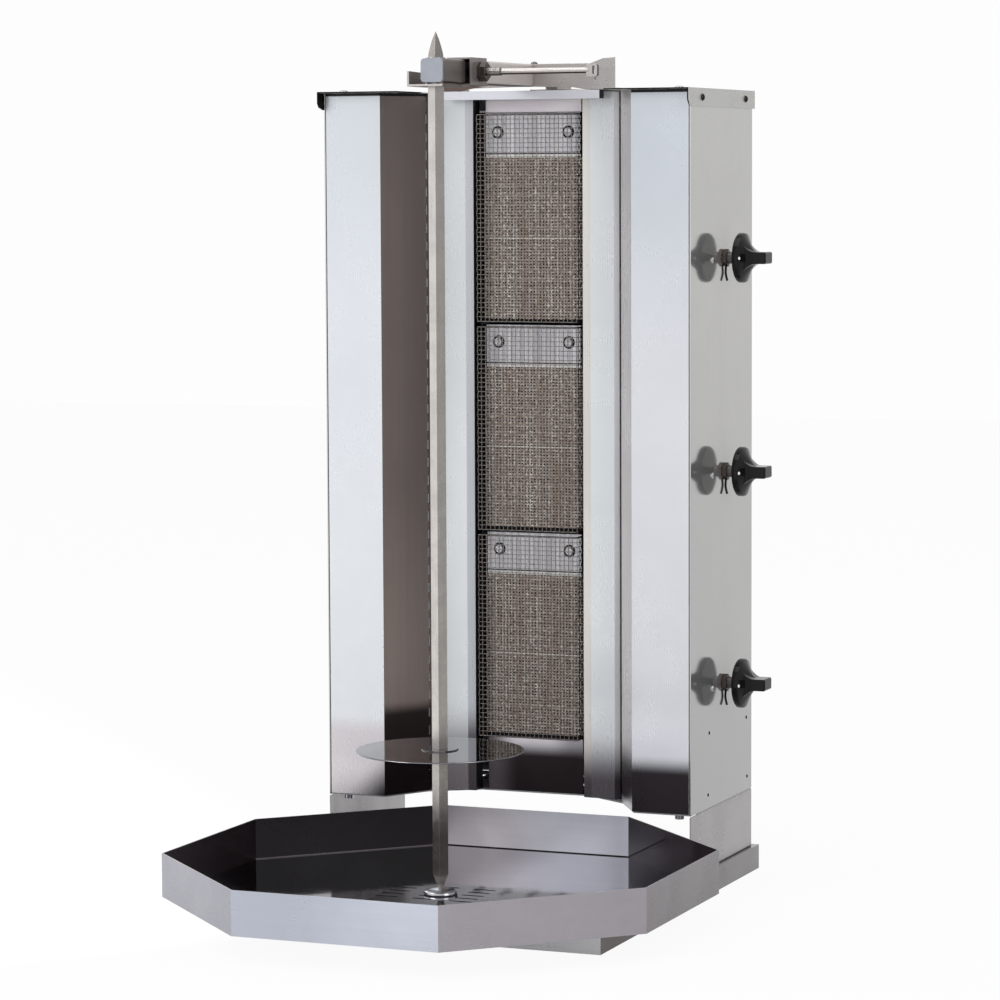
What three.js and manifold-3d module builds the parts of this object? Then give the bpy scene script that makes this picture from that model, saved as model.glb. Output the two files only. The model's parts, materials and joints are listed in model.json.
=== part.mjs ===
// Vertical gas rotisserie oven: a spit standing in a drip tray in front of three
// stacked ceramic burners, with hinged heat shields and a sliding top arm.
// Millimetres, +Z up. X runs to the operator's right and Y runs to the back.
// The spit axis is X = 0, Y = 0 and the floor is Z = 0.

import * as THREE from "three";
import { mergeVertices } from "three/addons/utils/BufferGeometryUtils.js";
import Module from "manifold-3d";

const wasm = await Module();
wasm.setup();

// ---------------------------------------------------------------- clearances
const gap = 0.3;
const runningGap = 0.2;
const trayCornerRoom = 17.3;
const trayHeadRoom = 20;

// ---------------------------------------------------------------- sheet metal
const sheet = 1.5;
const heavySheet = 3;

// ---------------------------------------------------------------- drip tray
const trayAcross = 549;
const trayWall = 47.2;
const traySlotLength = 26;
const traySlotWidth = 4;
const traySlotPitchX = 42.5;
const traySlotPitchY = 17;
const traySlotCentreX = -6.5;
const traySlotCentreY = 2.5;
const traySlotColumns = 3;
const traySlotRows = 5;

// ---------------------------------------------------------------- plinth
const plinthHeight = 27.5;
const plinthSideMargin = 5;
const plinthRearMargin = 13;
const plinthReach = 105;

// ---------------------------------------------------------------- cabinet
const cabinetWidth = 433;
const cabinetDepth = 210;
const sideFlange = 18;
const riserFlange = 20;
const riserSeam = 1;
const riserFlangeSetback = 26;
const bottomFillerHeight = 64;
const topFillerHeight = 24.25;

// ---------------------------------------------------------------- lid
const lidOverhang = 14;
const lidRearOverhang = 3.4;
const lidSideGap = 0.5;
const lidFlangeDrop = 20;
const lidChamferRun = 12;
const lidChamferRise = 7;
const lidRecessMargin = 5.2;
const lidRecessSetback = 55;
const lidRailInset = 26;
const lidRailDrop = 9.5;

// ---------------------------------------------------------------- rear cover
const coverInset = 4;
const louvreRows = 6;
const louvreHalf = 55;
const louvreHeight = 5;
const louvrePitch = 14;

// ---------------------------------------------------------------- cabinet floor
const airSlotCount = 7;
const airSlotPitch = 34;
const airSlotHalf = 4;
const airSlotLength = 42;
const airSlotSetback = 166;
const floorLip = 20;

// ---------------------------------------------------------------- burners
const burnerPitch = 234.25;
const burnerBreak = 1.85;
const topBurnerExtra = 2.6;
const burnerHalf = 62;
const burnerSetback = 88;
const burnerDepth = 46;
const burnerWall = 2;
const burnerFlangeMargin = 2;
const burnerFlangeSetback = 13;
const tileDepth = 12;
const tileFieldHeight = 181.8;
const tileSeam = 1.2;
const tileLedge = 3;
const tileFieldRise = 4.2;
const headerRise = 189.1;
const headerInset = 5;
const headerLip = 4.5;
const headerSheet = 1.2;
const fillerMargin = 0.5;
const fillerFlange = 14;

// ---------------------------------------------------------------- burner guards
const guardInset = 1;
const guardEndGap = 1.2;
const guardReach = 24.3;
const guardBar = 1.2;
const guardColumns = 3;
const guardRows = 5;
const guardFrame = 3;

// ---------------------------------------------------------------- reflectors
const reflectorMargin = 1.3;
const reflectorBevel = 9.5;
const reflectorFace = 37.2;
const reflectorWidth = 42.5;
const reflectorInnerReach = 17.9;
const reflectorFaceReach = 19;
const reflectorOuterReach = 15;
const reflectorReturn = 22;

// ---------------------------------------------------------------- heat shields
const shieldReflectorGap = 8.8;
const shieldReturnRun = 31.6;
const shieldReturnDepth = 54;
const shieldEdgeFlange = 9;
const shieldCornerFlange = 8;
const shieldCornerGap = 2.5;
const shieldEarDepth = 24;
const shieldSlotLength = 10;
const shieldSlotWidth = 3;
const shieldSlotPitch = 20.3;
const pivotInset = 18;
const pivotSetback = 14;
const pivotRadius = 3;
const pivotHeadRadius = 5;
const pivotHeadBelow = 5.4;
const pivotHeadAbove = 1.8;

// ---------------------------------------------------------------- gas train
const tapSetback = 112;
const tapRise = 69.6;
const tapPitch = 236.2;
const tapBodyRadius = 11;
const tapBodyLength = 42;
const tapNoseRadius = 6.5;
const tapNoseReach = 11;
const jetRadius = 3;
const jetLength = 12;
const mixerRadius = 10;
const mixerBellRadius = 14;
const mixerBellLength = 28;
const mixerCollar = 30;
const mixerWall = 1.6;
const mixerJetGap = 7;
const manifoldInset = 34;
const manifoldSetback = 147;
const manifoldRadius = 8.6;
const manifoldBranchRadius = 5.5;
const inletRise = 35;
const inletRadius = 10;
const inletWall = 2.5;
const inletHexRadius = 13;
const inletHexLength = 15;

// ---------------------------------------------------------------- knobs
const knobRadius = 27.5;
const knobStandOff = 17.3;
const knobSkirt = 7.5;
const knobReach = 34.6;
const knobFlare = 13.5;
const knobFlareCurve = 1.7;
const knobFlareSteps = 6;
const knobEdge = 1.3;
const knobGripSpread = 1.5;
const knobGripHalfWidth = 12.5;
const knobGripHalfThickness = 6.5;
const knobStemRadius = 4;
const knobStemEntry = 4;
const knobNutRadius = 9.8;
const knobNutThickness = 5;

// ---------------------------------------------------------------- spit and disc
const spitSide = 12;
const spitTurn = 15.6;
const spitTipLength = 28.5;
const spitFootLength = 20;
const cupRadius = 18.5;
const cupHeight = 4;
const cupFloor = 1.4;
const discRadius = 90;
const discThickness = 1.5;
const discRise = 157.1;
const discBossRadius = 19;
const discBossHeight = 1.2;
const discClearance = 0.35;
const clipWire = 1.2;
const clipLength = 30;
const clipHalfWidth = 5;

// ---------------------------------------------------------------- top arm
const armTube = 25;
const armWall = 2;
const armNose = 11.8;
const armRearGap = 0.5;
const armCapThickness = 2;
const armLift = 4.2;
const armFootWidth = 50;
const armFootLength = 50;
const armFootSetback = 85;
const armFootSheet = 3;
const bushWall = 0.8;
const bushLip = 0.6;
const bushLipMargin = 0.6;
const crossbarHalf = 109;
const crossbarDepth = 28;
const crossbarSheet = 2;
const crossbarRise = 6.3;
const crossbarEnd = 29;
const crossbarFoot = 34;
const crossbarArchEnd = 59;
const crossbarArchDrop = 1;
const crossbarSlotInset = 23;
const crossbarSlotHalf = 1.2;
const crossbarSlotReach = 6;
const clampReach = 74;
const clampBarLead = 14;
const clampThreadRadius = 4.3;
const clampNutRadius = 10.5;
const clampNutThickness = 9.5;
const clampThreadLength = 34;
const clampHandleLength = 96.5;
const clampHandleStart = 3.4;
const clampHandleTip = 3.1;
const paddleLength = 12.5;
const paddleHalf = 6.6;
const paddleThickness = 5;
const paddleCorner = 2.4;
const paddleSlotHalf = 1.5;
const paddleSlotReach = 4.6;
const bracketLead = 23;
const bracketLength = 44;
const bracketSideGap = 4.4;
const bracketOverlap = 9;
const bracketSheet = 2;
const pullReach = 28;
const pullHeight = 16.2;
const pullLength = 52;
const pullThickness = 2.4;
const pullDrop = 1.6;
const pullSpacerInset = 6;
const pullSlope = 1.4;

// ---------------------------------------------------------------- roundness
const roundSegments = 28;
const smallSegments = 18;
const discSegments = 64;

// ================================================================ solid tools

function signedVolume(positions, indices) {
  const a = new THREE.Vector3();
  const b = new THREE.Vector3();
  const c = new THREE.Vector3();
  let volume = 0;
  for (let i = 0; i < indices.length; i += 3) {
    a.fromArray(positions, indices[i] * 3);
    b.fromArray(positions, indices[i + 1] * 3);
    c.fromArray(positions, indices[i + 2] * 3);
    volume += a.dot(b.cross(c)) / 6;
  }
  return volume;
}

// A closed three.js geometry as a solid: shared corners merged, empty triangles dropped.
function toSolid(geometry) {
  geometry.deleteAttribute("normal");
  geometry.deleteAttribute("uv");
  const merged = mergeVertices(geometry, 1e-4);
  const positions = merged.attributes.position.array;
  const faces = [];
  for (let i = 0; i < merged.index.count; i += 3) {
    const a = merged.index.getX(i);
    const b = merged.index.getX(i + 1);
    const c = merged.index.getX(i + 2);
    if (a !== b && b !== c && c !== a) {
      faces.push(a, b, c);
    }
  }
  if (signedVolume(positions, faces) < 0) {
    faces.reverse();
  }
  return new wasm.Manifold(new wasm.Mesh({
    numProp: 3,
    vertProperties: new Float32Array(positions),
    triVerts: new Uint32Array(faces),
  }));
}

function toGeometry(solid) {
  const mesh = solid.getMesh();
  const geometry = new THREE.BufferGeometry();
  geometry.setAttribute("position", new THREE.BufferAttribute(new Float32Array(mesh.vertProperties), 3));
  geometry.setIndex(new THREE.BufferAttribute(new Uint32Array(mesh.triVerts), 1));
  geometry.computeVertexNormals();
  return geometry;
}

function join(...solids) {
  return solids.reduce((whole, piece) => whole.add(piece));
}

function cut(solid, ...tools) {
  return tools.reduce((rest, tool) => rest.subtract(tool), solid);
}

function box(x0, x1, y0, y1, z0, z1) {
  const geometry = new THREE.BoxGeometry(Math.abs(x1 - x0), Math.abs(y1 - y0), Math.abs(z1 - z0));
  geometry.translate((x0 + x1) / 2, (y0 + y1) / 2, (z0 + z1) / 2);
  return toSolid(geometry);
}

function extruded(points, length) {
  const shape = new THREE.Shape(points.map(([a, b]) => new THREE.Vector2(a, b)));
  return new THREE.ExtrudeGeometry(shape, { depth: length, bevelEnabled: false, steps: 1 });
}

// Outline of [x, y] points raised from z0 to z1.
function prismZ(points, z0, z1) {
  const geometry = extruded(points, z1 - z0);
  geometry.translate(0, 0, z0);
  return toSolid(geometry);
}

// Outline of [y, z] points carried from x0 to x1.
function prismX(points, x0, x1) {
  const geometry = extruded(points, x1 - x0);
  geometry.applyMatrix4(new THREE.Matrix4().set(0, 0, 1, x0, 1, 0, 0, 0, 0, 1, 0, 0, 0, 0, 0, 1));
  return toSolid(geometry);
}

// Outline of [x, z] points carried from y0 to y1.
function prismY(points, y0, y1) {
  const geometry = extruded(points, y1 - y0);
  geometry.applyMatrix4(new THREE.Matrix4().set(1, 0, 0, 0, 0, 0, -1, y1, 0, 1, 0, 0, 0, 0, 0, 1));
  return toSolid(geometry);
}

// Profile of [radius, height] points turned about a vertical axis at (x, y).
function turnedZ(profile, x = 0, y = 0, segments = roundSegments) {
  const geometry = new THREE.LatheGeometry(profile.map(([r, h]) => new THREE.Vector2(r, h)), segments);
  geometry.rotateX(Math.PI / 2);
  geometry.translate(x, y, 0);
  return toSolid(geometry);
}

// Profile of [radius, x] points turned about an axis along X at (y, z).
function turnedX(profile, y, z, segments = roundSegments) {
  const geometry = new THREE.LatheGeometry(profile.map(([r, h]) => new THREE.Vector2(r, h)), segments);
  geometry.rotateZ(-Math.PI / 2);
  geometry.translate(0, y, z);
  return toSolid(geometry);
}

function rodZ(radius, z0, z1, x = 0, y = 0, segments = smallSegments) {
  return turnedZ([[0, z0], [radius, z0], [radius, z1], [0, z1]], x, y, segments);
}

function rodX(radius, x0, x1, y, z, segments = smallSegments) {
  return turnedX([[0, x0], [radius, x0], [radius, x1], [0, x1]], y, z, segments);
}

function rodY(radius, y0, y1, x, z, segments = smallSegments) {
  const geometry = new THREE.CylinderGeometry(radius, radius, y1 - y0, segments);
  geometry.translate(x, (y0 + y1) / 2, z);
  return toSolid(geometry);
}

// Closed outline of a sheet folded along a line of corners, thickened to the line's left.
function foldedSheet(line, thickness) {
  const corners = line.map(([a, b]) => new THREE.Vector2(a, b));
  const normals = [];
  for (let i = 0; i < corners.length - 1; i += 1) {
    const along = corners[i + 1].clone().sub(corners[i]).normalize();
    normals.push(new THREE.Vector2(-along.y, along.x));
  }
  const inner = corners.map((corner, i) => {
    const before = normals[Math.max(i - 1, 0)];
    const after = normals[Math.min(i, normals.length - 1)];
    const middle = before.clone().add(after).normalize();
    return corner.clone().addScaledVector(middle, thickness / middle.dot(after));
  });
  return [...corners, ...inner.reverse()].map((p) => [p.x, p.y]);
}

// Second half of an outline that is the same on both sides of its first axis.
function mirrorRows(points) {
  return points.map(([along, across]) => [along, -across]).reverse();
}

function mirrorPoints(points, side) {
  return points.map(([x, other]) => [x * side, other]);
}

// Rounded rectangle outline centred on (a, b).
function roundedOutline(a, b, halfA, halfB, radius, steps = 4) {
  const points = [];
  const quadrants = [[1, 1], [-1, 1], [-1, -1], [1, -1]];
  quadrants.forEach(([sa, sb], q) => {
    for (let i = 0; i <= steps; i += 1) {
      const angle = (q + i / steps) * Math.PI / 2;
      points.push([
        a + sa * (halfA - radius) + radius * Math.cos(angle),
        b + sb * (halfB - radius) + radius * Math.sin(angle),
      ]);
    }
  });
  return points;
}

// ================================================================ assembly

const oven = new THREE.Group();

function finish(color, roughness, metalness) {
  return () => new THREE.MeshStandardMaterial({ color, roughness, metalness });
}

const brushedSteel = finish(0xc9cccf, 0.34, 1);
const polishedSteel = finish(0xb9b6b2, 0.18, 1);
const darkSteel = finish(0x8f8f94, 0.3, 1);
const wireSteel = finish(0xd2d4d6, 0.3, 1);
const castIron = finish(0x4c4a48, 0.7, 0.6);
const ceramic = finish(0x96897c, 0.95, 0);
const brass = finish(0xb59a5b, 0.35, 1);
const bronze = finish(0x9a7b4f, 0.4, 1);
const blackPlastic = finish(0x141416, 0.22, 0);
const greySteel = finish(0xb4b7c2, 0.4, 1);

function place(name, solid, makeMaterial) {
  const mesh = new THREE.Mesh(toGeometry(solid), makeMaterial());
  mesh.name = name;
  oven.add(mesh);
  return mesh;
}

const sides = [["left", -1], ["right", 1]];
const levels = ["lower", "middle", "upper"];

// ---------------------------------------------------------------- main lines

const cabinetHalf = cabinetWidth / 2;
const shellInner = cabinetHalf - sheet;
const cabinetFrontY = trayAcross / Math.SQRT2 - cabinetHalf + trayCornerRoom;
const cabinetRearY = cabinetFrontY + cabinetDepth;
const cabinetBottomZ = plinthHeight + gap + trayWall + trayHeadRoom;
const burnerFirstZ = cabinetBottomZ + bottomFillerHeight;
const burnerZ = levels.map((_, i) => burnerFirstZ + i * burnerPitch);
const burnerTopZ = burnerZ.map((z, i) => z + burnerPitch - burnerBreak
  + (i === levels.length - 1 ? topBurnerExtra : 0));
const cabinetTopZ = burnerFirstZ + levels.length * burnerPitch + topFillerHeight;
const burnerFaceY = cabinetFrontY + burnerSetback;
const burnerRearY = burnerFaceY + burnerDepth;
const tapY = cabinetFrontY + tapSetback;
const tapZ = levels.map((_, i) => burnerFirstZ + tapRise + i * tapPitch);
const pivotX = cabinetHalf - pivotInset;
const pivotY = cabinetFrontY + pivotSetback;

// ---------------------------------------------------------------- plinth and risers

const plinthHalf = cabinetHalf + plinthSideMargin;
const plinthFrontY = -plinthReach;
const plinthRearY = cabinetRearY + plinthRearMargin;
const riserBottomZ = plinthHeight + gap;
const riserTopZ = cabinetBottomZ - gap;

// Welded box: closed top and bottom, open at the back.
function plinth() {
  const shell = box(-plinthHalf, plinthHalf, plinthFrontY, plinthRearY, 0, plinthHeight);
  const hollow = box(-plinthHalf + sheet, plinthHalf - sheet, plinthFrontY + sheet, plinthRearY + sheet,
    sheet, plinthHeight - sheet);
  return cut(shell, hollow);
}

// Side plate with a foot flange and a head flange turned inwards.
function riser(side) {
  const inner = shellInner;
  const wall = box(side * inner, side * cabinetHalf, cabinetFrontY, cabinetRearY, riserBottomZ,
    riserTopZ - riserSeam);
  const flangeY = cabinetFrontY + riserFlangeSetback;
  const flangeX = side * (inner - riserFlange);
  const overlap = side * (inner + sheet / 2);
  const foot = box(flangeX, overlap, flangeY, cabinetRearY, riserBottomZ, riserBottomZ + sheet);
  const head = box(flangeX, overlap, flangeY, cabinetRearY, riserTopZ - sheet, riserTopZ);
  return join(wall, foot, head);
}

place("base_plinth", plinth(), brushedSteel);
for (const [word, side] of sides) {
  place(`riser_${word}`, riser(side), brushedSteel);
}

// ---------------------------------------------------------------- cabinet shell

const lidUnderZ = cabinetTopZ - sheet;
const panelTopZ = lidUnderZ - gap;
const floorTopZ = cabinetBottomZ + sheet;
const reflectorInnerX = burnerHalf + burnerFlangeMargin + reflectorMargin;
const reflectorOuterX = reflectorInnerX + reflectorWidth;
const shieldReturnX = reflectorOuterX + shieldReflectorGap;
const shieldReturnY = cabinetFrontY + shieldReturnDepth;
const shieldFaceInnerX = shieldReturnX + shieldReturnRun;
const lidOuter = cabinetHalf + lidSideGap + sheet;
const lidFrontY = cabinetFrontY - lidOverhang;
const lidRearY = cabinetRearY + lidRearOverhang;
const lidRecessHalf = shieldReturnX + lidRecessMargin;
const lidRecessY = cabinetFrontY + lidRecessSetback;
const coverHalf = cabinetHalf - coverInset;
const coverY = cabinetRearY + gap;
const manifoldX = cabinetHalf - manifoldInset;
const inletX = manifoldX;
const inletZ = cabinetBottomZ + inletRise;

// Side panel with a rear flange; the right one has a hole for each tap.
function sidePanel(side) {
  const line = [
    [cabinetHalf, cabinetFrontY],
    [cabinetHalf, cabinetRearY],
    [cabinetHalf - sideFlange, cabinetRearY],
  ];
  const panel = prismZ(mirrorPoints(foldedSheet(line, sheet), side), cabinetBottomZ, panelTopZ);
  if (side < 0) {
    return panel;
  }
  const holes = tapZ.map((z) => rodX(tapNoseRadius + gap, shellInner - 1, cabinetHalf + 1, tapY, z));
  return cut(panel, ...holes);
}

// Floor pan that follows the front of the shields, with upturned sides and air slots.
function cabinetFloor() {
  const half = shellInner - gap;
  const front = cabinetFrontY + sheet;
  const outline = [
    [half, front], [half, cabinetRearY - sheet - gap],
    [-half, cabinetRearY - sheet - gap], [-half, front],
    [-shieldFaceInnerX - sheet, front], [-shieldReturnX - sheet, shieldReturnY],
    [-reflectorInnerX, burnerFaceY],
    [reflectorInnerX, burnerFaceY], [shieldReturnX + sheet, shieldReturnY], [shieldFaceInnerX + sheet, front],
  ];
  const plate = prismZ(outline, cabinetBottomZ, floorTopZ);
  const lipFront = pivotY + shieldEarDepth;
  const lips = sides.map(([, side]) => box(side * (half - sheet), side * half, lipFront,
    cabinetRearY - sheet - gap, cabinetBottomZ, floorTopZ + floorLip));
  const slots = [];
  const airSlotY = cabinetFrontY + airSlotSetback;
  for (let i = 0; i < airSlotCount; i += 1) {
    const x = (i - (airSlotCount - 1) / 2) * airSlotPitch;
    slots.push(box(x - airSlotHalf, x + airSlotHalf,
      airSlotY - airSlotLength / 2, airSlotY + airSlotLength / 2,
      cabinetBottomZ - 1, floorTopZ + 1));
  }
  const pivots = sides.map(([, side]) => rodZ(pivotRadius + gap, cabinetBottomZ - 1, floorTopZ + 1,
    side * pivotX, pivotY));
  return cut(join(plate, ...lips), ...slots, ...pivots);
}

// Screwed-on back sheet with a group of vent slots behind each burner and a gas inlet hole.
function rearCover() {
  const top = cabinetTopZ - lidFlangeDrop - gap;
  const plate = box(-coverHalf, coverHalf, coverY, coverY + sheet, floorTopZ, top);
  const vents = [];
  for (const bottom of burnerZ) {
    const middle = bottom + burnerPitch / 2;
    for (let row = 0; row < louvreRows; row += 1) {
      const z = middle + (row - (louvreRows - 1) / 2) * louvrePitch;
      vents.push(box(-louvreHalf, louvreHalf, coverY - 1, coverY + sheet + 1, z - louvreHeight / 2,
        z + louvreHeight / 2));
    }
  }
  const inlet = rodY(inletRadius + 1, coverY - 1, coverY + sheet + 1, inletX, inletZ);
  return cut(plate, inlet, ...vents);
}

// Folded top: overhanging front corners, a recess over the burners with a turned-down rail.
function lid() {
  const outline = [
    [-lidOuter, lidFrontY], [-lidRecessHalf, lidFrontY], [-lidRecessHalf, lidRecessY],
    [lidRecessHalf, lidRecessY], [lidRecessHalf, lidFrontY], [lidOuter, lidFrontY],
    [lidOuter, lidRearY], [-lidOuter, lidRearY],
  ];
  const flangeZ = cabinetTopZ - lidFlangeDrop;
  const block = prismZ(outline, flangeZ, cabinetTopZ);
  const inside = box(-lidOuter + sheet, lidOuter - sheet, lidFrontY - 1, lidRearY - sheet, flangeZ - 1,
    lidUnderZ);
  const corner = prismX([
    [lidFrontY - 1, flangeZ - 1], [lidFrontY + lidChamferRun, flangeZ - 1],
    [lidFrontY + lidChamferRun, flangeZ],
    [lidFrontY + lidChamferRun / 3, flangeZ + lidChamferRise / 3], [lidFrontY, flangeZ + lidChamferRise],
    [lidFrontY - 1, flangeZ + lidChamferRise],
  ], -lidOuter - 1, lidOuter + 1);
  const railHalf = lidRecessHalf - lidRailInset;
  const rail = box(-railHalf, railHalf, lidRecessY, lidRecessY + sheet, cabinetTopZ - lidRailDrop,
    lidUnderZ + sheet / 2);
  const pivots = sides.map(([, side]) => rodZ(pivotRadius + gap, lidUnderZ - 1, cabinetTopZ + 1,
    side * pivotX, pivotY));
  return cut(join(cut(block, inside, corner), rail), ...pivots);
}

for (const [word, side] of sides) {
  place(`side_panel_${word}`, sidePanel(side), brushedSteel);
}
place("cabinet_floor", cabinetFloor(), brushedSteel);
place("rear_cover", rearCover(), brushedSteel);
place("lid", lid(), brushedSteel);

// ---------------------------------------------------------------- hinged heat shields

const shieldBottomZ = floorTopZ + gap;
const shieldTopZ = panelTopZ;

// Folded shield: corner flange, front face, slanted return and a slotted edge flange.
function heatShield(side) {
  const cornerX = cabinetHalf - shieldCornerGap;
  const line = [
    [shieldReturnX, shieldReturnY + shieldEdgeFlange],
    [shieldReturnX, shieldReturnY],
    [shieldFaceInnerX, cabinetFrontY],
    [cornerX, cabinetFrontY],
    [cornerX, cabinetFrontY + shieldCornerFlange],
  ];
  const skin = prismZ(mirrorPoints(foldedSheet(line, sheet), side), shieldBottomZ, shieldTopZ);
  const earOutline = mirrorPoints([
    [shieldFaceInnerX + shieldEarDepth / 4, cabinetFrontY + sheet / 2],
    [cornerX - sheet / 2, cabinetFrontY + sheet / 2],
    [cornerX - sheet / 2, cabinetFrontY + shieldCornerFlange],
    [cornerX - 2 * sheet, cabinetFrontY + shieldEarDepth],
    [pivotX - 2 * pivotHeadRadius, cabinetFrontY + shieldEarDepth],
  ], side);
  const ears = [
    prismZ(earOutline, shieldBottomZ, shieldBottomZ + sheet),
    prismZ(earOutline, shieldTopZ - sheet, shieldTopZ),
  ];
  const slotCount = Math.floor((shieldTopZ - shieldBottomZ) / shieldSlotPitch) - 1;
  const middle = (shieldTopZ + shieldBottomZ) / 2;
  const slots = [];
  for (let i = 0; i < slotCount; i += 1) {
    const z = middle + (i - (slotCount - 1) / 2) * shieldSlotPitch;
    slots.push(box(side * (shieldReturnX - shieldSlotWidth), side * (shieldReturnX + shieldSlotWidth),
      shieldReturnY, shieldReturnY + shieldSlotWidth, z - shieldSlotLength / 2, z + shieldSlotLength / 2));
  }
  const bore = rodZ(pivotRadius + gap, shieldBottomZ - 1, shieldTopZ + 1, side * pivotX, pivotY);
  return cut(join(skin, ...ears), bore, ...slots);
}

// Long pin through floor, shield and lid with a head at each end.
function shieldPivot(side) {
  const lowHead = cabinetBottomZ - gap;
  const highHead = cabinetTopZ + gap;
  return turnedZ([
    [0, lowHead - pivotHeadBelow], [pivotHeadRadius, lowHead - pivotHeadBelow], [pivotHeadRadius, lowHead],
    [pivotRadius, lowHead], [pivotRadius, highHead], [pivotHeadRadius, highHead],
    [pivotHeadRadius, highHead + pivotHeadAbove / 2], [pivotRadius, highHead + pivotHeadAbove],
    [0, highHead + pivotHeadAbove],
  ], side * pivotX, pivotY, smallSegments);
}

for (const [word, side] of sides) {
  place(`heat_shield_${word}`, heatShield(side), brushedSteel);
  place(`shield_pivot_${word}`, shieldPivot(side), darkSteel);
}

// ---------------------------------------------------------------- reflectors and fillers

function reflector(side) {
  const faceY = burnerFaceY - reflectorFaceReach;
  const outerY = burnerFaceY - reflectorOuterReach;
  const line = [
    [reflectorOuterX, outerY + reflectorReturn],
    [reflectorOuterX, outerY],
    [reflectorInnerX + reflectorFace, faceY],
    [reflectorInnerX + reflectorBevel, faceY],
    [reflectorInnerX, burnerFaceY - reflectorInnerReach],
    [reflectorInnerX, burnerFaceY + sheet],
  ];
  const outline = foldedSheet([...line].reverse(), sheet);
  return prismZ(mirrorPoints(outline, side), floorTopZ + gap, panelTopZ);
}

for (const [word, side] of sides) {
  place(`reflector_${word}`, reflector(side), brushedSteel);
}

const burnerStackTop = burnerTopZ[levels.length - 1];
const headerHalf = burnerHalf - headerInset;

// Flat cover strip with a stiffening flange turned back.
function filler(z0, z1, flangeZ) {
  const fillerHalf = headerHalf + fillerMargin;
  const face = box(-fillerHalf, fillerHalf, burnerFaceY, burnerFaceY + sheet, z0, z1);
  const flange = box(-fillerHalf, fillerHalf, burnerFaceY, burnerFaceY + fillerFlange, flangeZ,
    flangeZ + sheet);
  return join(face, flange);
}

place("bottom_filler", filler(floorTopZ + gap, burnerFirstZ - gap, floorTopZ + gap), brushedSteel);
place("top_filler", filler(burnerStackTop + gap, panelTopZ, panelTopZ - sheet), brushedSteel);

// ---------------------------------------------------------------- burners

const tileTopRoom = tileFieldRise + tileFieldHeight;
const tileHalf = burnerHalf - burnerWall - gap;
const tileHeight = (tileFieldHeight - tileSeam) / 2 - gap;
const burnerFlangeHalf = burnerHalf + burnerFlangeMargin;
const burnerFlangeY = burnerFaceY + burnerFlangeSetback;
const guardHalf = burnerHalf - guardInset;
const guardFaceY = burnerFaceY - guardReach;

// Burner box: open front for the tiles, gas chamber behind, side port for the mixing tube.
function burnerBody(z0, z1, portZ) {
  const shell = box(-burnerHalf, burnerHalf, burnerFaceY, burnerRearY, z0, z1);
  const flange = box(-burnerFlangeHalf, burnerFlangeHalf, burnerFlangeY, burnerFlangeY + burnerWall, z0, z1);
  const inside = burnerHalf - burnerWall;
  const tileSeatY = burnerFaceY + tileDepth + gap;
  const pocket = box(-inside, inside, burnerFaceY - 1, tileSeatY, z0 + tileFieldRise - gap,
    z0 + tileTopRoom);
  const chamber = box(-inside + tileLedge, inside - tileLedge, tileSeatY - 1, burnerRearY - burnerWall,
    z0 + tileFieldRise + tileLedge, z0 + tileTopRoom - tileLedge);
  const head = box(-inside, inside, burnerFaceY + burnerWall, burnerRearY - burnerWall,
    z0 + tileTopRoom + burnerWall, z1 - burnerWall);
  const passage = box(-inside / 2, inside / 2, tileSeatY + burnerWall, burnerRearY - burnerWall,
    z0 + tileTopRoom - tileLedge - 1, z0 + tileTopRoom + burnerWall + 1);
  const port = rodX(mixerRadius + gap, 0, burnerFlangeHalf + 1, tapY, portZ);
  return cut(join(shell, flange), pocket, chamber, head, passage, port);
}

// Cover above the tiles with a lip set back along its lower edge.
function headerPlate(z0, z1) {
  const rearY = burnerFaceY - gap;
  const foot = z0 + headerRise;
  const plate = box(-headerHalf, headerHalf, rearY - headerSheet, rearY, foot, z1 - gap);
  const lip = box(-headerHalf, headerHalf, rearY - headerSheet / 2, rearY, foot - headerLip,
    foot + headerSheet);
  return join(plate, lip);
}

function tile(z0) {
  return box(-tileHalf, tileHalf, burnerFaceY, burnerFaceY + tileDepth, z0, z0 + tileHeight);
}

// Boxed guard: open grille face, grille sides and plain top and bottom folds.
function burnerGuard(z0, z1) {
  const bottom = z0 + guardEndGap;
  const top = z1 - guardEndGap;
  const sideRearY = burnerFaceY - gap;
  const foldRearY = burnerFaceY - headerSheet - 2 * gap;
  const face = box(-guardHalf, guardHalf, guardFaceY, guardFaceY + guardBar, bottom, top);
  const left = box(-guardHalf, -guardHalf + guardBar, guardFaceY, sideRearY, bottom, top);
  const right = box(guardHalf - guardBar, guardHalf, guardFaceY, sideRearY, bottom, top);
  const lowFold = box(-guardHalf, guardHalf, guardFaceY, foldRearY, bottom, bottom + guardBar);
  const highFold = box(-guardHalf, guardHalf, guardFaceY, foldRearY, top - guardBar, top);
  const rowPitch = (top - bottom - guardFrame) / guardRows;
  const columnPitch = (2 * guardHalf - guardFrame) / guardColumns;
  const sideNearY = guardFaceY + 2 * guardFrame;
  const sideFarY = foldRearY - 2 * guardFrame;
  const windows = [];
  for (let row = 0; row < guardRows; row += 1) {
    const low = bottom + guardFrame + row * rowPitch;
    const high = low + rowPitch - guardFrame;
    for (let column = 0; column < guardColumns; column += 1) {
      const start = -guardHalf + guardFrame + column * columnPitch;
      windows.push(box(start, start + columnPitch - guardFrame, guardFaceY - 1, guardFaceY + 2 * guardBar,
        low, high));
    }
    windows.push(box(-guardHalf - 1, guardHalf + 1, sideNearY, sideFarY, low, high));
  }
  return cut(join(face, left, right, lowFold, highFold), ...windows);
}

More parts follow.
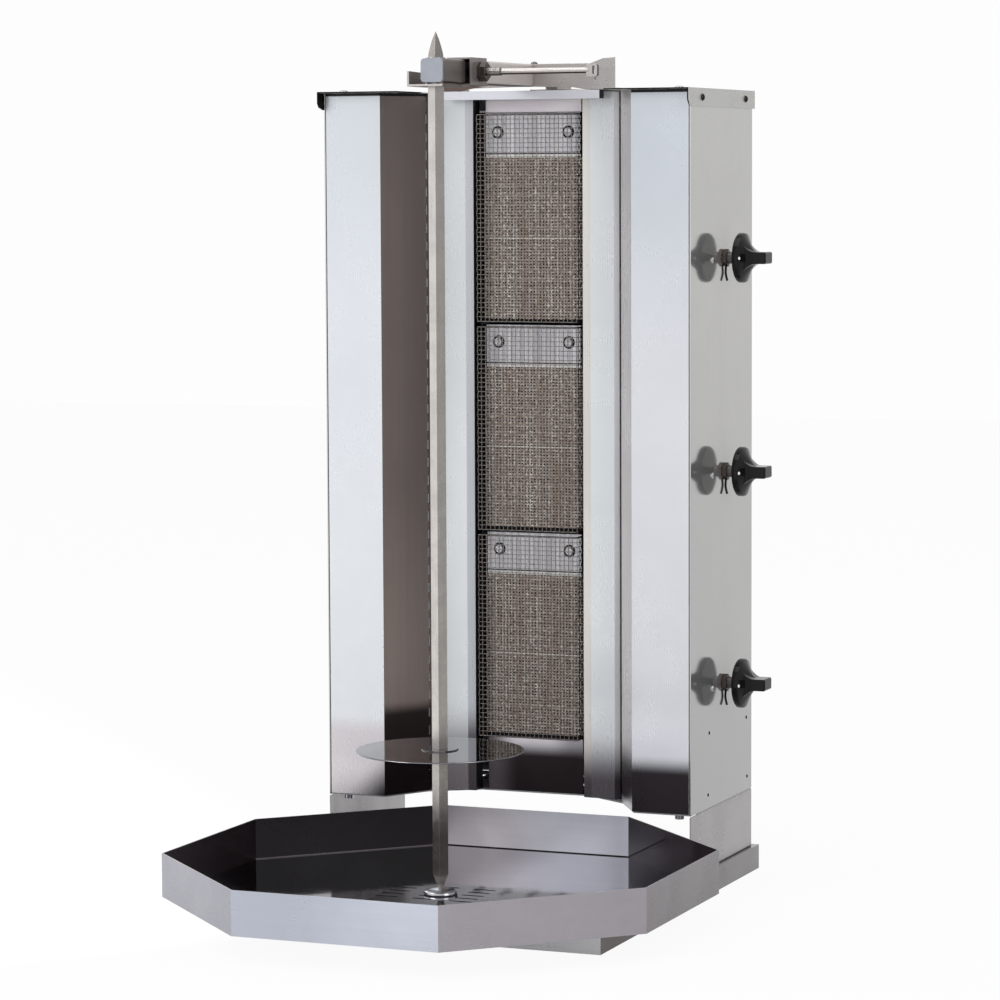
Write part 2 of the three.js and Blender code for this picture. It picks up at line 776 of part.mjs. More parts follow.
levels.forEach((level, i) => {
  const z0 = burnerZ[i];
  const z1 = burnerTopZ[i];
  const firstTile = z0 + tileFieldRise;
  place(`burner_body_${level}`, burnerBody(z0, z1, tapZ[i]), castIron);
  place(`burner_header_${level}`, headerPlate(z0, z1), brushedSteel);
  place(`tile_${level}_a`, tile(firstTile), ceramic);
  place(`tile_${level}_b`, tile(firstTile + tileHeight + tileSeam), ceramic);
  place(`burner_guard_${level}`, burnerGuard(z0, z1), wireSteel);
});

// ---------------------------------------------------------------- gas train

const tapShoulderX = shellInner - gap;
const tapRearX = tapShoulderX - tapBodyLength;
const tapNoseX = cabinetHalf + tapNoseReach;
const jetTipX = tapRearX - jetLength;
const branchEndY = tapY + tapBodyRadius + gap;
const manifoldY = cabinetFrontY + manifoldSetback;

// Tap: round body with a jet towards the mixing tube and a hollow threaded nose.
function gasTap(z) {
  const body = turnedX([
    [0, jetTipX], [jetRadius, jetTipX], [jetRadius + 2, tapRearX],
    [tapBodyRadius, tapRearX], [tapBodyRadius, tapShoulderX], [tapNoseRadius, tapShoulderX],
    [tapNoseRadius, tapNoseX], [0, tapNoseX],
  ], tapY, z, smallSegments);
  const stemBore = rodX(knobStemRadius + runningGap, cabinetHalf - 1.5 * knobStemEntry, tapNoseX + 1,
    tapY, z);
  return cut(body, stemBore);
}

// Venturi tube from the burner port to a bell mouth in front of the jet.
function mixingTube(z) {
  const start = burnerHalf - burnerWall;
  const collar = start + mixerCollar;
  const end = jetTipX - mixerJetGap;
  const neck = end - mixerBellLength;
  const throat = mixerRadius * 0.62;
  const bore = mixerRadius - mixerWall;
  return turnedX([
    [bore, start], [mixerRadius, start], [mixerRadius, collar], [throat + mixerWall, neck],
    [mixerBellRadius, end], [mixerBellRadius - mixerWall, end], [throat, neck], [bore, collar], [bore, start],
  ], tapY, z, smallSegments);
}

// Upright supply pipe with a branch to each tap and an elbow to the rear inlet.
function gasManifold() {
  const top = tapZ[levels.length - 1] + 3 * manifoldRadius;
  const upright = rodZ(manifoldRadius, inletZ - manifoldRadius, top, manifoldX, manifoldY);
  const run = rodY(manifoldRadius, manifoldY, cabinetRearY - inletHexLength, manifoldX, inletZ);
  const branches = tapZ.map((z) => rodY(manifoldBranchRadius, branchEndY, manifoldY, manifoldX, z));
  return join(upright, run, ...branches);
}

// Union nut and hollow spigot that pass through the back sheet.
function gasInlet() {
  const start = cabinetRearY - inletHexLength + gap;
  const hex = rodY(inletHexRadius, start, coverY - 2 * gap, inletX, inletZ, 6);
  const spigot = rodY(inletRadius, start, plinthRearY - 1, inletX, inletZ);
  const bore = rodY(inletRadius - inletWall, start + inletHexLength / 2, plinthRearY + 1, inletX, inletZ);
  return cut(join(hex, spigot), bore);
}

place("gas_manifold", gasManifold(), darkSteel);
place("gas_inlet", gasInlet(), brass);

// ---------------------------------------------------------------- knobs

const knobBackX = cabinetHalf + knobStandOff;
const knobEndX = knobBackX + knobReach;

// Black knob: thick round skirt, hollow flare and flat bar grip, with its stem behind.
function knob(z) {
  const skirtX = knobBackX + knobSkirt;
  const rim = knobRadius - knobEdge / 2;
  const bell = [
    [0, knobBackX], [knobRadius - knobEdge, knobBackX], [knobRadius, knobBackX + knobEdge],
    [knobRadius, skirtX - knobEdge], [rim, skirtX],
  ];
  const flare = [];
  for (let i = 1; i <= knobFlareSteps; i += 1) {
    const part = i / knobFlareSteps;
    const fall = (1 - part) ** knobFlareCurve;
    const x = skirtX + knobFlare * part;
    bell.push([knobGripHalfThickness + (rim - knobGripHalfThickness) * fall, x]);
    flare.push([x, knobGripHalfThickness * (1 + knobGripSpread * fall)]);
  }
  bell.push([0, skirtX + knobFlare]);
  const startX = knobBackX + knobEdge;
  const edge = [[startX, knobGripHalfThickness * (1 + knobGripSpread)], ...flare,
    [knobEndX - knobEdge, knobGripHalfThickness], [knobEndX, knobGripHalfThickness - knobEdge]];
  const sideOutline = [...edge, ...mirrorRows(edge)].map(([x, t]) => [x, z + t]);
  const plan = [[startX, knobGripHalfWidth * 1.5], [skirtX + knobFlare, knobGripHalfWidth],
    [knobEndX - 2 * knobEdge, knobGripHalfWidth], [knobEndX, knobGripHalfWidth - knobEdge]];
  const planOutline = [...plan, ...mirrorRows(plan)].map(([x, w]) => [x, tapY + w]);
  const blade = prismY(sideOutline, tapY - knobRadius, tapY + knobRadius)
    .intersect(prismZ(planOutline, z - knobRadius, z + knobRadius));
  const stem = rodX(knobStemRadius, cabinetHalf - knobStemEntry, knobBackX + 1, tapY, z);
  return join(turnedX(bell, tapY, z), blade, stem);
}

function knobNut(z) {
  const start = cabinetHalf + gap;
  const hex = rodX(knobNutRadius, start, start + knobNutThickness, tapY, z, 6);
  const bore = rodX(tapNoseRadius + gap, start - 1, start + knobNutThickness + 1, tapY, z);
  return cut(hex, bore);
}

levels.forEach((level, i) => {
  place(`gas_tap_${level}`, gasTap(tapZ[i]), brass);
  place(`mixing_tube_${level}`, mixingTube(tapZ[i]), darkSteel);
  place(`knob_nut_${level}`, knobNut(tapZ[i]), darkSteel);
  place(`knob_${level}`, knob(tapZ[i]), blackPlastic);
});

// ---------------------------------------------------------------- drip tray and spit cup

const trayBottomZ = plinthHeight + gap;
const trayFloorZ = trayBottomZ + sheet;
const trayRimZ = trayBottomZ + trayWall;

function octagon(across) {
  const radius = across / 2 / Math.cos(Math.PI / 8);
  const corners = [];
  for (let i = 0; i < 8; i += 1) {
    const angle = (i + 0.5) * Math.PI / 4;
    corners.push([radius * Math.cos(angle), radius * Math.sin(angle)]);
  }
  return corners;
}

function dripTray() {
  const body = prismZ(octagon(trayAcross), trayBottomZ, trayRimZ);
  const hollow = prismZ(octagon(trayAcross - 2 * sheet), trayFloorZ, trayRimZ + 1);
  const slots = [];
  for (let column = 0; column < traySlotColumns; column += 1) {
    const x = traySlotCentreX + (column - (traySlotColumns - 1) / 2) * traySlotPitchX;
    for (let row = 0; row < traySlotRows; row += 1) {
      const y = traySlotCentreY + (row - (traySlotRows - 1) / 2) * traySlotPitchY;
      const outline = roundedOutline(x, y, traySlotLength / 2, traySlotWidth / 2, traySlotWidth / 2 - 0.01,
        2);
      slots.push(prismZ(outline, trayBottomZ - 1, trayFloorZ + 1));
    }
  }
  return cut(body, hollow, ...slots);
}

const cupZ = trayFloorZ + gap;

function spitCup() {
  return turnedZ([
    [0, cupZ], [cupRadius - 0.8, cupZ], [cupRadius, cupZ + 1], [cupRadius - 0.6, cupZ + cupHeight - 0.8],
    [cupRadius - 2.2, cupZ + cupHeight], [cupRadius - 4, cupZ + cupHeight - 0.8],
    [cupRadius * 0.4, cupZ + cupFloor + 0.4], [0, cupZ + cupFloor],
  ]);
}

place("drip_tray", dripTray(), brushedSteel);
place("spit_cup", spitCup(), polishedSteel);

// ---------------------------------------------------------------- spit and disc

const armBottomZ = cabinetTopZ + armLift;
const armTopZ = armBottomZ + armTube;
const spitFootZ = cupZ + cupFloor + gap;
const spitTopZ = armTopZ + spitTipLength;
const spitCorner = spitSide / Math.SQRT2;
const discTopZ = trayBottomZ + discRise - gap;

// A square bar is a turned profile with four facets; its corners lie on the turned axes.
function turnedSquare(profile) {
  return turnedZ(profile, 0, 0, 4).rotate([0, 0, spitTurn]);
}

function spit() {
  const tip = spitTopZ - spitTipLength;
  const bar = turnedSquare([
    [0, spitFootZ], [1.2, spitFootZ + 0.4], [spitCorner, spitFootZ + spitFootLength], [spitCorner, tip],
    [spitCorner * 0.89, tip + spitTipLength * 0.22], [spitCorner * 0.69, tip + spitTipLength * 0.44],
    [spitCorner * 0.45, tip + spitTipLength * 0.68], [0, spitTopZ],
  ]);
  const clipHole = rodX(clipWire + gap, -spitSide, spitSide, 0, clipZ).rotate([0, 0, clipTurn]);
  return cut(bar, clipHole);
}

const discUnderZ = discTopZ - discThickness;
const clipZ = discUnderZ - gap - clipWire;
const clipTurn = spitTurn + 45;

function disc() {
  const plate = turnedZ([
    [0, discUnderZ], [discRadius - 0.5, discUnderZ], [discRadius, discUnderZ + 0.5],
    [discRadius, discTopZ - 0.5], [discRadius - 0.5, discTopZ], [discBossRadius + 1, discTopZ],
    [discBossRadius, discTopZ + discBossHeight], [0, discTopZ + discBossHeight],
  ], 0, 0, discSegments);
  const hole = spitCorner + discClearance;
  const square = turnedSquare([[0, discUnderZ - 1], [hole, discUnderZ - 1], [hole, discTopZ + 9],
    [0, discTopZ + 9]]);
  return cut(plate, square);
}

// Hairpin of round wire: one leg passes through the spit, the other lies beside it.
function discClip() {
  const reach = spitSide / 2 + 3;
  const turnX = -clipLength;
  const path = new THREE.CurvePath();
  const at = (x, y) => new THREE.Vector3(x, y, clipZ);
  path.add(new THREE.LineCurve3(at(reach, 0), at(turnX, 0)));
  path.add(new THREE.QuadraticBezierCurve3(at(turnX, 0), at(turnX - clipHalfWidth, clipHalfWidth),
    at(turnX, 2 * clipHalfWidth)));
  path.add(new THREE.LineCurve3(at(turnX, 2 * clipHalfWidth), at(-spitSide / 2, spitSide)));
  const section = new THREE.Shape().absarc(0, 0, clipWire, 0, 2 * Math.PI, false);
  const geometry = new THREE.ExtrudeGeometry(section, {
    extrudePath: path, steps: 24, curveSegments: 5, bevelEnabled: false,
  });
  return toSolid(geometry).rotate([0, 0, clipTurn]);
}

place("spit", spit(), polishedSteel);
place("gyros_disc", disc(), polishedSteel);
place("disc_clip", discClip(), wireSteel);

// ---------------------------------------------------------------- sliding top arm

const armMiddleZ = (armBottomZ + armTopZ) / 2;
const armHalf = armTube / 2;
const armInner = armHalf - armWall;
const barHalf = armInner - gap;
const armFrontY = -armNose;
const crossbarY = lidRecessY + 1;
const bushOuter = spitCorner + runningGap + bushWall;
const bushHole = bushOuter + gap;
const cornerRadius = 3;
const clampY = clampReach;
const bracketWebX = armHalf + bracketSideGap;

// Square tube that slides over the fixed bar; drilled for the spit bush and the clamp screw.
function armHeadTube() {
  const frontY = armFrontY + armCapThickness + gap;
  const armRearY = crossbarY - armRearGap;
  const outer = prismY(roundedOutline(0, armMiddleZ, armHalf, armHalf, cornerRadius), frontY, armRearY);
  const inner = prismY(roundedOutline(0, armMiddleZ, armInner, armInner, cornerRadius / 3, 1), frontY - 1,
    armRearY + 1);
  const bushBore = rodZ(bushHole, armBottomZ - 1, armTopZ + 1);
  const screwBore = rodX(clampThreadRadius + runningGap, 0, armHalf + 1, clampY, armMiddleZ);
  return cut(outer, inner, bushBore, screwBore);
}

function armEndCap() {
  return prismY(roundedOutline(0, armMiddleZ, armHalf, armHalf, cornerRadius + 1),
    armFrontY, armFrontY + armCapThickness);
}

// Thin flanged bush that the spit turns in.
function spitBush() {
  const bore = spitCorner + runningGap;
  const lipZ = armTopZ + gap;
  const lipRadius = bushHole + bushLipMargin;
  return turnedZ([
    [bore, armBottomZ], [bushOuter, armBottomZ], [bushOuter, lipZ], [lipRadius, lipZ],
    [lipRadius, lipZ + bushLip], [bore, lipZ + bushLip], [bore, armBottomZ],
  ]);
}

// Bent shelf under the head, held off the tube by a spacer, with a finger edge turned up on the left.
function headPull() {
  const top = armBottomZ - gap;
  const shelfTop = top - pullDrop;
  const under = shelfTop - pullThickness;
  const line = [[-pullReach, under + pullHeight], [-pullReach, under], [armHalf, under]];
  const rearY = armFrontY + pullLength;
  const shelf = prismY(foldedSheet(line, pullThickness), armFrontY, rearY);
  const spacer = box(-armHalf + pullSpacerInset / 2, armHalf - pullSpacerInset / 2,
    armFrontY + pullSpacerInset,
    rearY - pullSpacerInset, shelfTop - pullThickness / 2, top);
  const lipTop = under + pullHeight;
  const slope = prismX([[armFrontY, lipTop], [rearY + 1, lipTop - pullSlope], [rearY + 1, lipTop + 1],
    [armFrontY, lipTop + 1]], -pullReach - 1, -pullReach + pullThickness + 1);
  return cut(join(shelf, spacer), slope, rodZ(bushHole, under - 1, top + 1));
}

// C-shaped bracket around the tube with the clamp nut welded on its web.
function clampBracket() {
  const outer = bracketWebX + bracketSheet;
  const low = armBottomZ - gap - bracketSheet;
  const high = armTopZ + gap + bracketSheet;
  const frontY = clampY - bracketLead;
  const rear = frontY + bracketLength;
  const plates = join(
    box(bracketWebX, outer, frontY, rear, low, high),
    box(-bracketOverlap, outer, frontY, rear, high - bracketSheet, high),
    box(-bracketOverlap, outer, frontY, rear + heavySheet, low, low + bracketSheet),
  );
  const nutEnd = outer + clampNutThickness;
  const nut = rodX(clampNutRadius, outer - bracketSheet / 2, nutEnd, clampY, armMiddleZ, 6);
  const bore = rodX(clampThreadRadius + runningGap, bracketWebX - 1, nutEnd + 1, clampY, armMiddleZ);
  return cut(join(plates, nut), bore);
}

// Clamp screw: threaded end through the nut, long tapered handle and a flattened, slotted end.
function clampScrew() {
  const tipX = barHalf + gap;
  const threadEnd = tipX + clampThreadLength;
  const handleEnd = threadEnd + clampHandleLength;
  const rod = turnedX([
    [0, tipX], [clampThreadRadius - 1, tipX], [clampThreadRadius, tipX + 1],
    [clampThreadRadius, threadEnd - 1],
    [clampHandleStart, threadEnd], [clampHandleTip, handleEnd], [clampHandleTip, handleEnd + paddleCorner],
    [0, handleEnd + paddleCorner],
  ], clampY, armMiddleZ, smallSegments);
  const paddleX = handleEnd + paddleLength / 2;
  const paddle = prismY(roundedOutline(paddleX, armMiddleZ, paddleLength / 2, paddleHalf, paddleCorner),
    clampY - paddleThickness / 2, clampY + paddleThickness / 2);
  const slotX = handleEnd + paddleLength * 0.68;
  const slot = prismY(
    roundedOutline(slotX, armMiddleZ, paddleSlotHalf, paddleSlotReach, paddleSlotHalf * 0.9, 2),
    clampY - paddleThickness, clampY + paddleThickness,
  );
  return cut(join(rod, paddle), slot);
}

// Fixed bar that the tube slides on, with a foot on the lid behind the crossbar.
function armBar() {
  const frontY = clampY - clampBarLead;
  const footFrontY = crossbarY + armFootSetback;
  const footRearY = footFrontY + armFootLength;
  const footZ = cabinetTopZ + gap;
  const bar = prismY(roundedOutline(0, armMiddleZ, barHalf, barHalf, cornerRadius, 2), frontY, footRearY);
  const foot = box(-armFootWidth / 2, armFootWidth / 2, footFrontY, footRearY, footZ, footZ + armFootSheet);
  const saddle = box(-barHalf + cornerRadius, barHalf - cornerRadius,
    footFrontY + armFootSheet, footRearY - armFootSheet,
    footZ + armFootSheet / 2, armMiddleZ);
  return join(bar, foot, saddle);
}

// Folded crossbar: upright web arched over the lid, raised ends, a foot on each side, a window for
// the bar.
function armCrossbar() {
  const low = cabinetTopZ + gap;
  const high = armTopZ;
  const peak = high + crossbarRise;
  const shoulder = crossbarHalf - crossbarEnd;
  const footX = crossbarHalf - crossbarFoot;
  const rearY = crossbarY + crossbarDepth;
  const rightEdge = [
    [0, armBottomZ], [armHalf, armBottomZ], [crossbarArchEnd, armBottomZ - crossbarArchDrop], [footX, low],
    [crossbarHalf, low], [crossbarHalf, peak], [crossbarHalf - crossbarEnd / 2, peak - 1], [shoulder, high],
  ];
  const leftEdge = mirrorPoints(rightEdge, -1).reverse().slice(0, -1);
  const web = prismY([...rightEdge, ...leftEdge], crossbarY, crossbarY + crossbarSheet);
  const topFlange = box(-shoulder, shoulder, crossbarY, rearY, high - crossbarSheet, high);
  const feet = [box(footX, crossbarHalf, crossbarY, rearY, low, low + crossbarSheet),
    box(-crossbarHalf, -footX, crossbarY, rearY, low, low + crossbarSheet)];
  const windowHalf = barHalf + gap;
  const barWindow = box(-windowHalf, windowHalf, crossbarY - 1, crossbarY + 2 * crossbarSheet,
    armMiddleZ - windowHalf, armMiddleZ + windowHalf);
  const slots = sides.map(([, side]) => {
    const x = side * (crossbarHalf - crossbarSlotInset);
    return box(x - crossbarSlotHalf, x + crossbarSlotHalf, crossbarY - 1, crossbarY + 2 * crossbarSheet,
      armMiddleZ - crossbarSlotReach, armMiddleZ + crossbarSlotReach);
  });
  return cut(join(web, topFlange, ...feet), barWindow, ...slots);
}

place("arm_head_tube", armHeadTube(), brushedSteel);
place("arm_end_cap", armEndCap(), greySteel);
place("spit_bush", spitBush(), bronze);
place("head_pull", headPull(), brushedSteel);
place("clamp_bracket", clampBracket(), brushedSteel);
place("clamp_screw", clampScrew(), polishedSteel);
place("arm_bar", armBar(), brushedSteel);
place("arm_crossbar", armCrossbar(), brushedSteel);

export default oven;
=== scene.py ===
# %% [markdown]
# # A vertical gas rotisserie oven
# The object is a tall steel cabinet with three ceramic burners behind woven guards, two hinged
# heat shields, a spit that stands in an eight-sided drip tray, and an arm that holds the spit's top.
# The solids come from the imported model. This lesson dresses them: each sheet gets rounded folds and
# brushed steel, and the small repeated things are grown with Geometry Nodes.

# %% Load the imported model
import json
import math

import bmesh
import bpy
from mathutils import Matrix, Vector
from mathutils.bvhtree import BVHTree

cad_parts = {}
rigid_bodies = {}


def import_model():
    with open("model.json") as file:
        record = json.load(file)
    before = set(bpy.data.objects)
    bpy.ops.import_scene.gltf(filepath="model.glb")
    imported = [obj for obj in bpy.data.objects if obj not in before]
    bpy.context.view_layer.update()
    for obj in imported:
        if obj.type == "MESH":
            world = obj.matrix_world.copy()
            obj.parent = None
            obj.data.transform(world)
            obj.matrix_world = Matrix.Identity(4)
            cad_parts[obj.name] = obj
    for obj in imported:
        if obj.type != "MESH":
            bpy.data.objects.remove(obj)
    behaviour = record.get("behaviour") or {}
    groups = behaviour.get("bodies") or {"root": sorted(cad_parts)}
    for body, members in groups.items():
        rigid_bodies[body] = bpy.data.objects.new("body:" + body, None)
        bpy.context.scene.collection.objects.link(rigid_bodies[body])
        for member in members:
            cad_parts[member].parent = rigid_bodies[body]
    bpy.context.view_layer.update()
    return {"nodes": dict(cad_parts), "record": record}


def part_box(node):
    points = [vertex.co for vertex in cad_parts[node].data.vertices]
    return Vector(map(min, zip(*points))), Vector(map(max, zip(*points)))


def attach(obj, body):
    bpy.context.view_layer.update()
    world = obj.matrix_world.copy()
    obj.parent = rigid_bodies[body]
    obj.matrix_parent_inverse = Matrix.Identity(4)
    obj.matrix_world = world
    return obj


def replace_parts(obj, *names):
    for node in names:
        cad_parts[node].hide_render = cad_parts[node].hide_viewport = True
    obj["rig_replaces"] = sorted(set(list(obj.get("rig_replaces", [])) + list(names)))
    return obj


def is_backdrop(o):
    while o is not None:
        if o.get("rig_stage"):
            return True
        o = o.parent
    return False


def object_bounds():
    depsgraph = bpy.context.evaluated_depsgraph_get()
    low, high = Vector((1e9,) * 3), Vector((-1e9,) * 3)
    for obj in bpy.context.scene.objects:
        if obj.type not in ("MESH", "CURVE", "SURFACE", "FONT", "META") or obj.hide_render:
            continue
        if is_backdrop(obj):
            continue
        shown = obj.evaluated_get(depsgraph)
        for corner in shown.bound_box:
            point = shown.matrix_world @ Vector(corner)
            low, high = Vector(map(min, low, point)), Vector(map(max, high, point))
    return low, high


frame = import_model()
nodes = frame["nodes"]
record = frame["record"]
body_of = {node: body for body, members in record["behaviour"]["bodies"].items() for node in members}
slot_of = {part["node"]: part["material_slot"] for part in record["subparts"]}
MM = 0.001
LEVELS = ("lower", "middle", "upper")


# %% [markdown]
# ## The camera
# A long lens stands to the right of the spit axis and looks slightly down, so that upright edges stay
# almost parallel. Its place and its turns are plain numbers in metres and degrees.

# %% Camera
CAMERA_PLACE = Vector((1.5484, -3.6384, 0.7956))
CAMERA_YAW = math.radians(22.109)
CAMERA_PITCH = math.radians(4.983)
CAMERA_ROLL = math.radians(-0.260)
CAMERA_LENS = 135.114

look = Vector((-math.sin(CAMERA_YAW) * math.cos(CAMERA_PITCH),
               math.cos(CAMERA_YAW) * math.cos(CAMERA_PITCH),
               -math.sin(CAMERA_PITCH)))
level_right = Vector((math.cos(CAMERA_YAW), math.sin(CAMERA_YAW), 0))
level_up = level_right.cross(look)
camera_right = math.cos(CAMERA_ROLL) * level_right + math.sin(CAMERA_ROLL) * level_up
camera_up = camera_right.cross(look)
turn = Matrix((camera_right, camera_up, -look)).transposed()

camera_data = bpy.data.cameras.new("camera")
camera_data.lens = CAMERA_LENS
camera_data.sensor_width = 36
camera = bpy.data.objects.new("camera", camera_data)
camera.matrix_world = Matrix.Translation(CAMERA_PLACE) @ turn.to_4x4()
bpy.context.scene.collection.objects.link(camera)
bpy.context.scene.camera = camera
bpy.context.scene.view_settings.view_transform = "Standard"
print("camera looks along", [round(v, 3) for v in look])


# %% [markdown]
# ## World, lamps and floor
# Polished steel shows whatever stands round it, so the room matters as much as the finish. The room
# is a soft white that falls off towards the right, which gives square bars one light and one darker
# face. The camera itself sees an even, almost white background. Light Path tells its rays, and those
# that a mirror or glass sends on, from the rays that light the object. The world and the floor need
# the same two answers, so one helper works out both.

# %% Node helpers
BACKGROUND = 0.985
ROOM_LEVEL = 0.78
ROOM_FALL = 0.26
MIRRORED_FALL = 0.34


def link_nodes(tree, pairs):
    for source, target in pairs:
        tree.links.new(source, target)


def put(tree, socket, value):
    """Plugs a socket into another one, or sets a plain value on it."""
    if isinstance(value, bpy.types.NodeSocket):
        tree.links.new(value, socket)
    elif value is not None:
        socket.default_value = value


def maths(tree, operation, a, b=None):
    node = tree.nodes.new("ShaderNodeMath")
    node.operation = operation
    put(tree, node.inputs[0], a)
    put(tree, node.inputs[1], b)
    return node.outputs[0]


def fading(tree, sideways, fall):
    """The room's level, which falls off towards the right. Sideways runs from -1 to 1."""
    return maths(tree, "ADD", maths(tree, "MULTIPLY", sideways, -fall), ROOM_LEVEL)


def background_rays(tree, sideways):
    """Which rays see the plain background, and how bright it is for them."""
    path = tree.nodes.new("ShaderNodeLightPath")
    seen = path.outputs["Is Camera Ray"]
    sent_on = maths(tree, "MAXIMUM", path.outputs["Is Glossy Ray"], path.outputs["Is Transmission Ray"])
    rays = maths(tree, "MAXIMUM", seen, sent_on)
    return rays, maths(tree, "MAXIMUM", seen, fading(tree, sideways, MIRRORED_FALL))


print("background level:", BACKGROUND, "room level:", ROOM_LEVEL)

# %% [markdown]
# The world mixes two backgrounds. The room lights the object, with a trace of blue in its white. The
# plain one is what the camera and the mirrors see.

# %% World
BACKGROUND_COLOR = (BACKGROUND, BACKGROUND, BACKGROUND, 1)
ROOM_COLOR = (0.97, 0.985, 1.0, 1)

world = bpy.data.worlds.new("studio")
bpy.context.scene.world = world
world.use_nodes = True
sky = world.node_tree
sky.nodes.clear()
sky_out = sky.nodes.new("ShaderNodeOutputWorld")
sky_mix = sky.nodes.new("ShaderNodeMixShader")
sky_room = sky.nodes.new("ShaderNodeBackground")
sky_white = sky.nodes.new("ShaderNodeBackground")
sky_place = sky.nodes.new("ShaderNodeTexCoord")
sky_split = sky.nodes.new("ShaderNodeSeparateXYZ")
sky_room.inputs["Color"].default_value = ROOM_COLOR
sky_white.inputs["Color"].default_value = BACKGROUND_COLOR
sky_rays, sky_brightness = background_rays(sky, sky_split.outputs["X"])
link_nodes(sky, [
    (sky_place.outputs["Generated"], sky_split.inputs[0]),
    (fading(sky, sky_split.outputs["X"], ROOM_FALL), sky_room.inputs["Strength"]),
    (sky_brightness, sky_white.inputs["Strength"]),
    (sky_rays, sky_mix.inputs[0]),
    (sky_room.outputs[0], sky_mix.inputs[1]),
    (sky_white.outputs[0], sky_mix.inputs[2]),
    (sky_mix.outputs[0], sky_out.inputs[0]),
])
print("world nodes:", len(sky.nodes))

# %% [markdown]
# Three large lamps add a direction: a key from the left, a weaker fill from the right and a soft one
# from above. Their powers are low, so that a colour comes out about as it is written.

# %% Lamps
def area_lamp(name, place, aim, size, power):
    data = bpy.data.lights.new(name, "AREA")
    data.shape = "RECTANGLE"
    data.size, data.size_y = size
    data.energy = power
    lamp = bpy.data.objects.new(name, data)
    lamp.location = place
    lamp.rotation_mode = "QUATERNION"
    lamp.rotation_quaternion = (Vector(aim) - Vector(place)).to_track_quat("-Z", "Y")
    bpy.context.scene.collection.objects.link(lamp)


area_lamp("key_lamp", (-2.2, -2.6, 2.4), (0, 0.1, 0.4), (1.8, 1.8), 52)
area_lamp("fill_lamp", (2.8, -1.4, 1.6), (0, 0.2, 0.4), (1.6, 2.2), 18)
area_lamp("top_lamp", (0.0, -0.2, 3.2), (0, 0.1, 0.3), (2.2, 2.2), 22)
print("lamps: key, fill and top")

# %% [markdown]
# The floor shows the same plain background as the world, so no horizon line is seen. It keeps a small
# share of its own shading, which is where the object's soft shadow shows.

# %% Floor
FLOOR_HALF = 8
FLOOR_WHITE_SHARE = 0.95
FLOOR_COLOR = (0.9, 0.9, 0.9, 1)

floor_mesh = bpy.data.meshes.new("floor")
floor_corners = [(-FLOOR_HALF, -FLOOR_HALF, 0), (FLOOR_HALF, -FLOOR_HALF, 0),
                 (FLOOR_HALF, FLOOR_HALF, 0), (-FLOOR_HALF, FLOOR_HALF, 0)]
floor_mesh.from_pydata(floor_corners, [], [(0, 1, 2, 3)])
floor = bpy.data.objects.new("floor", floor_mesh)
bpy.context.scene.collection.objects.link(floor)
floor_material = bpy.data.materials.new("pale_floor")
floor_material.use_nodes = True
ground = floor_material.node_tree
ground.nodes.clear()
ground_out = ground.nodes.new("ShaderNodeOutputMaterial")
ground_mix = ground.nodes.new("ShaderNodeMixShader")
ground_matt = ground.nodes.new("ShaderNodeBsdfDiffuse")
ground_white = ground.nodes.new("ShaderNodeEmission")
ground_place = ground.nodes.new("ShaderNodeTexCoord")
ground_way = ground.nodes.new("ShaderNodeVectorMath")
ground_way.operation = "NORMALIZE"
ground_split = ground.nodes.new("ShaderNodeSeparateXYZ")
ground_matt.inputs["Color"].default_value = FLOOR_COLOR
ground_white.inputs["Color"].default_value = BACKGROUND_COLOR
ground_rays, ground_brightness = background_rays(ground, ground_split.outputs["X"])
link_nodes(ground, [
    (ground_place.outputs["Object"], ground_way.inputs[0]),
    (ground_way.outputs[0], ground_split.inputs[0]),
    (ground_brightness, ground_white.inputs["Strength"]),
    (maths(ground, "MULTIPLY", ground_rays, FLOOR_WHITE_SHARE), ground_mix.inputs[0]),
    (ground_matt.outputs[0], ground_mix.inputs[1]),
    (ground_white.outputs[0], ground_mix.inputs[2]),
    (ground_mix.outputs[0], ground_out.inputs[0]),
])
floor_mesh.materials.append(floor_material)
floor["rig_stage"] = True
print("floor side in metres:", 2 * FLOOR_HALF)


# %% [markdown]
# ## Shader groups
# Steel sheet looks like steel because of three things that many finishes here share: fine parallel
# grain from the brushing belt, broad soft smudges, and soft steps of tone, which paint reflections and
# shade into the colour at fixed places.
# Each is a node group with named inputs, built once and placed in a material with its own values.

# %% Group helpers
SOCKET_KINDS = {"value": "NodeSocketFloat", "vector": "NodeSocketVector"}


def new_group(name, inputs, outputs):
    tree = bpy.data.node_groups.new(name, "ShaderNodeTree")
    for label, kind, default in inputs:
        socket = tree.interface.new_socket(label, in_out="INPUT", socket_type=SOCKET_KINDS[kind])
        socket.default_value = default
    for label, kind in outputs:
        tree.interface.new_socket(label, in_out="OUTPUT", socket_type=SOCKET_KINDS[kind])
    return tree, tree.nodes.new("NodeGroupInput"), tree.nodes.new("NodeGroupOutput")


def mix_color(tree, factor, a, b, blend="MIX"):
    node = tree.nodes.new("ShaderNodeMix")
    node.data_type = "RGBA"
    node.blend_type = blend
    for index, value in ((0, factor), (6, a), (7, b)):
        put(tree, node.inputs[index], value)
    return node.outputs[2]


def remap(tree, value, low, high, to_low=0.0, to_high=1.0, smooth=True):
    node = tree.nodes.new("ShaderNodeMapRange")
    node.interpolation_type = "SMOOTHSTEP" if smooth else "LINEAR"
    for index, bound in enumerate((value, low, high, to_low, to_high)):
        put(tree, node.inputs[index], bound)
    return node.outputs[0]


print("kinds of group socket:", sorted(SOCKET_KINDS))

# %% [markdown]
# **Brushed grain.** The belt leaves scratches that are long one way and a few hundredths of a
# millimetre wide. A noise whose coordinates are squeezed along one axis gives such streaks, and two
# of them at different widths keep the eye from finding a repeat.

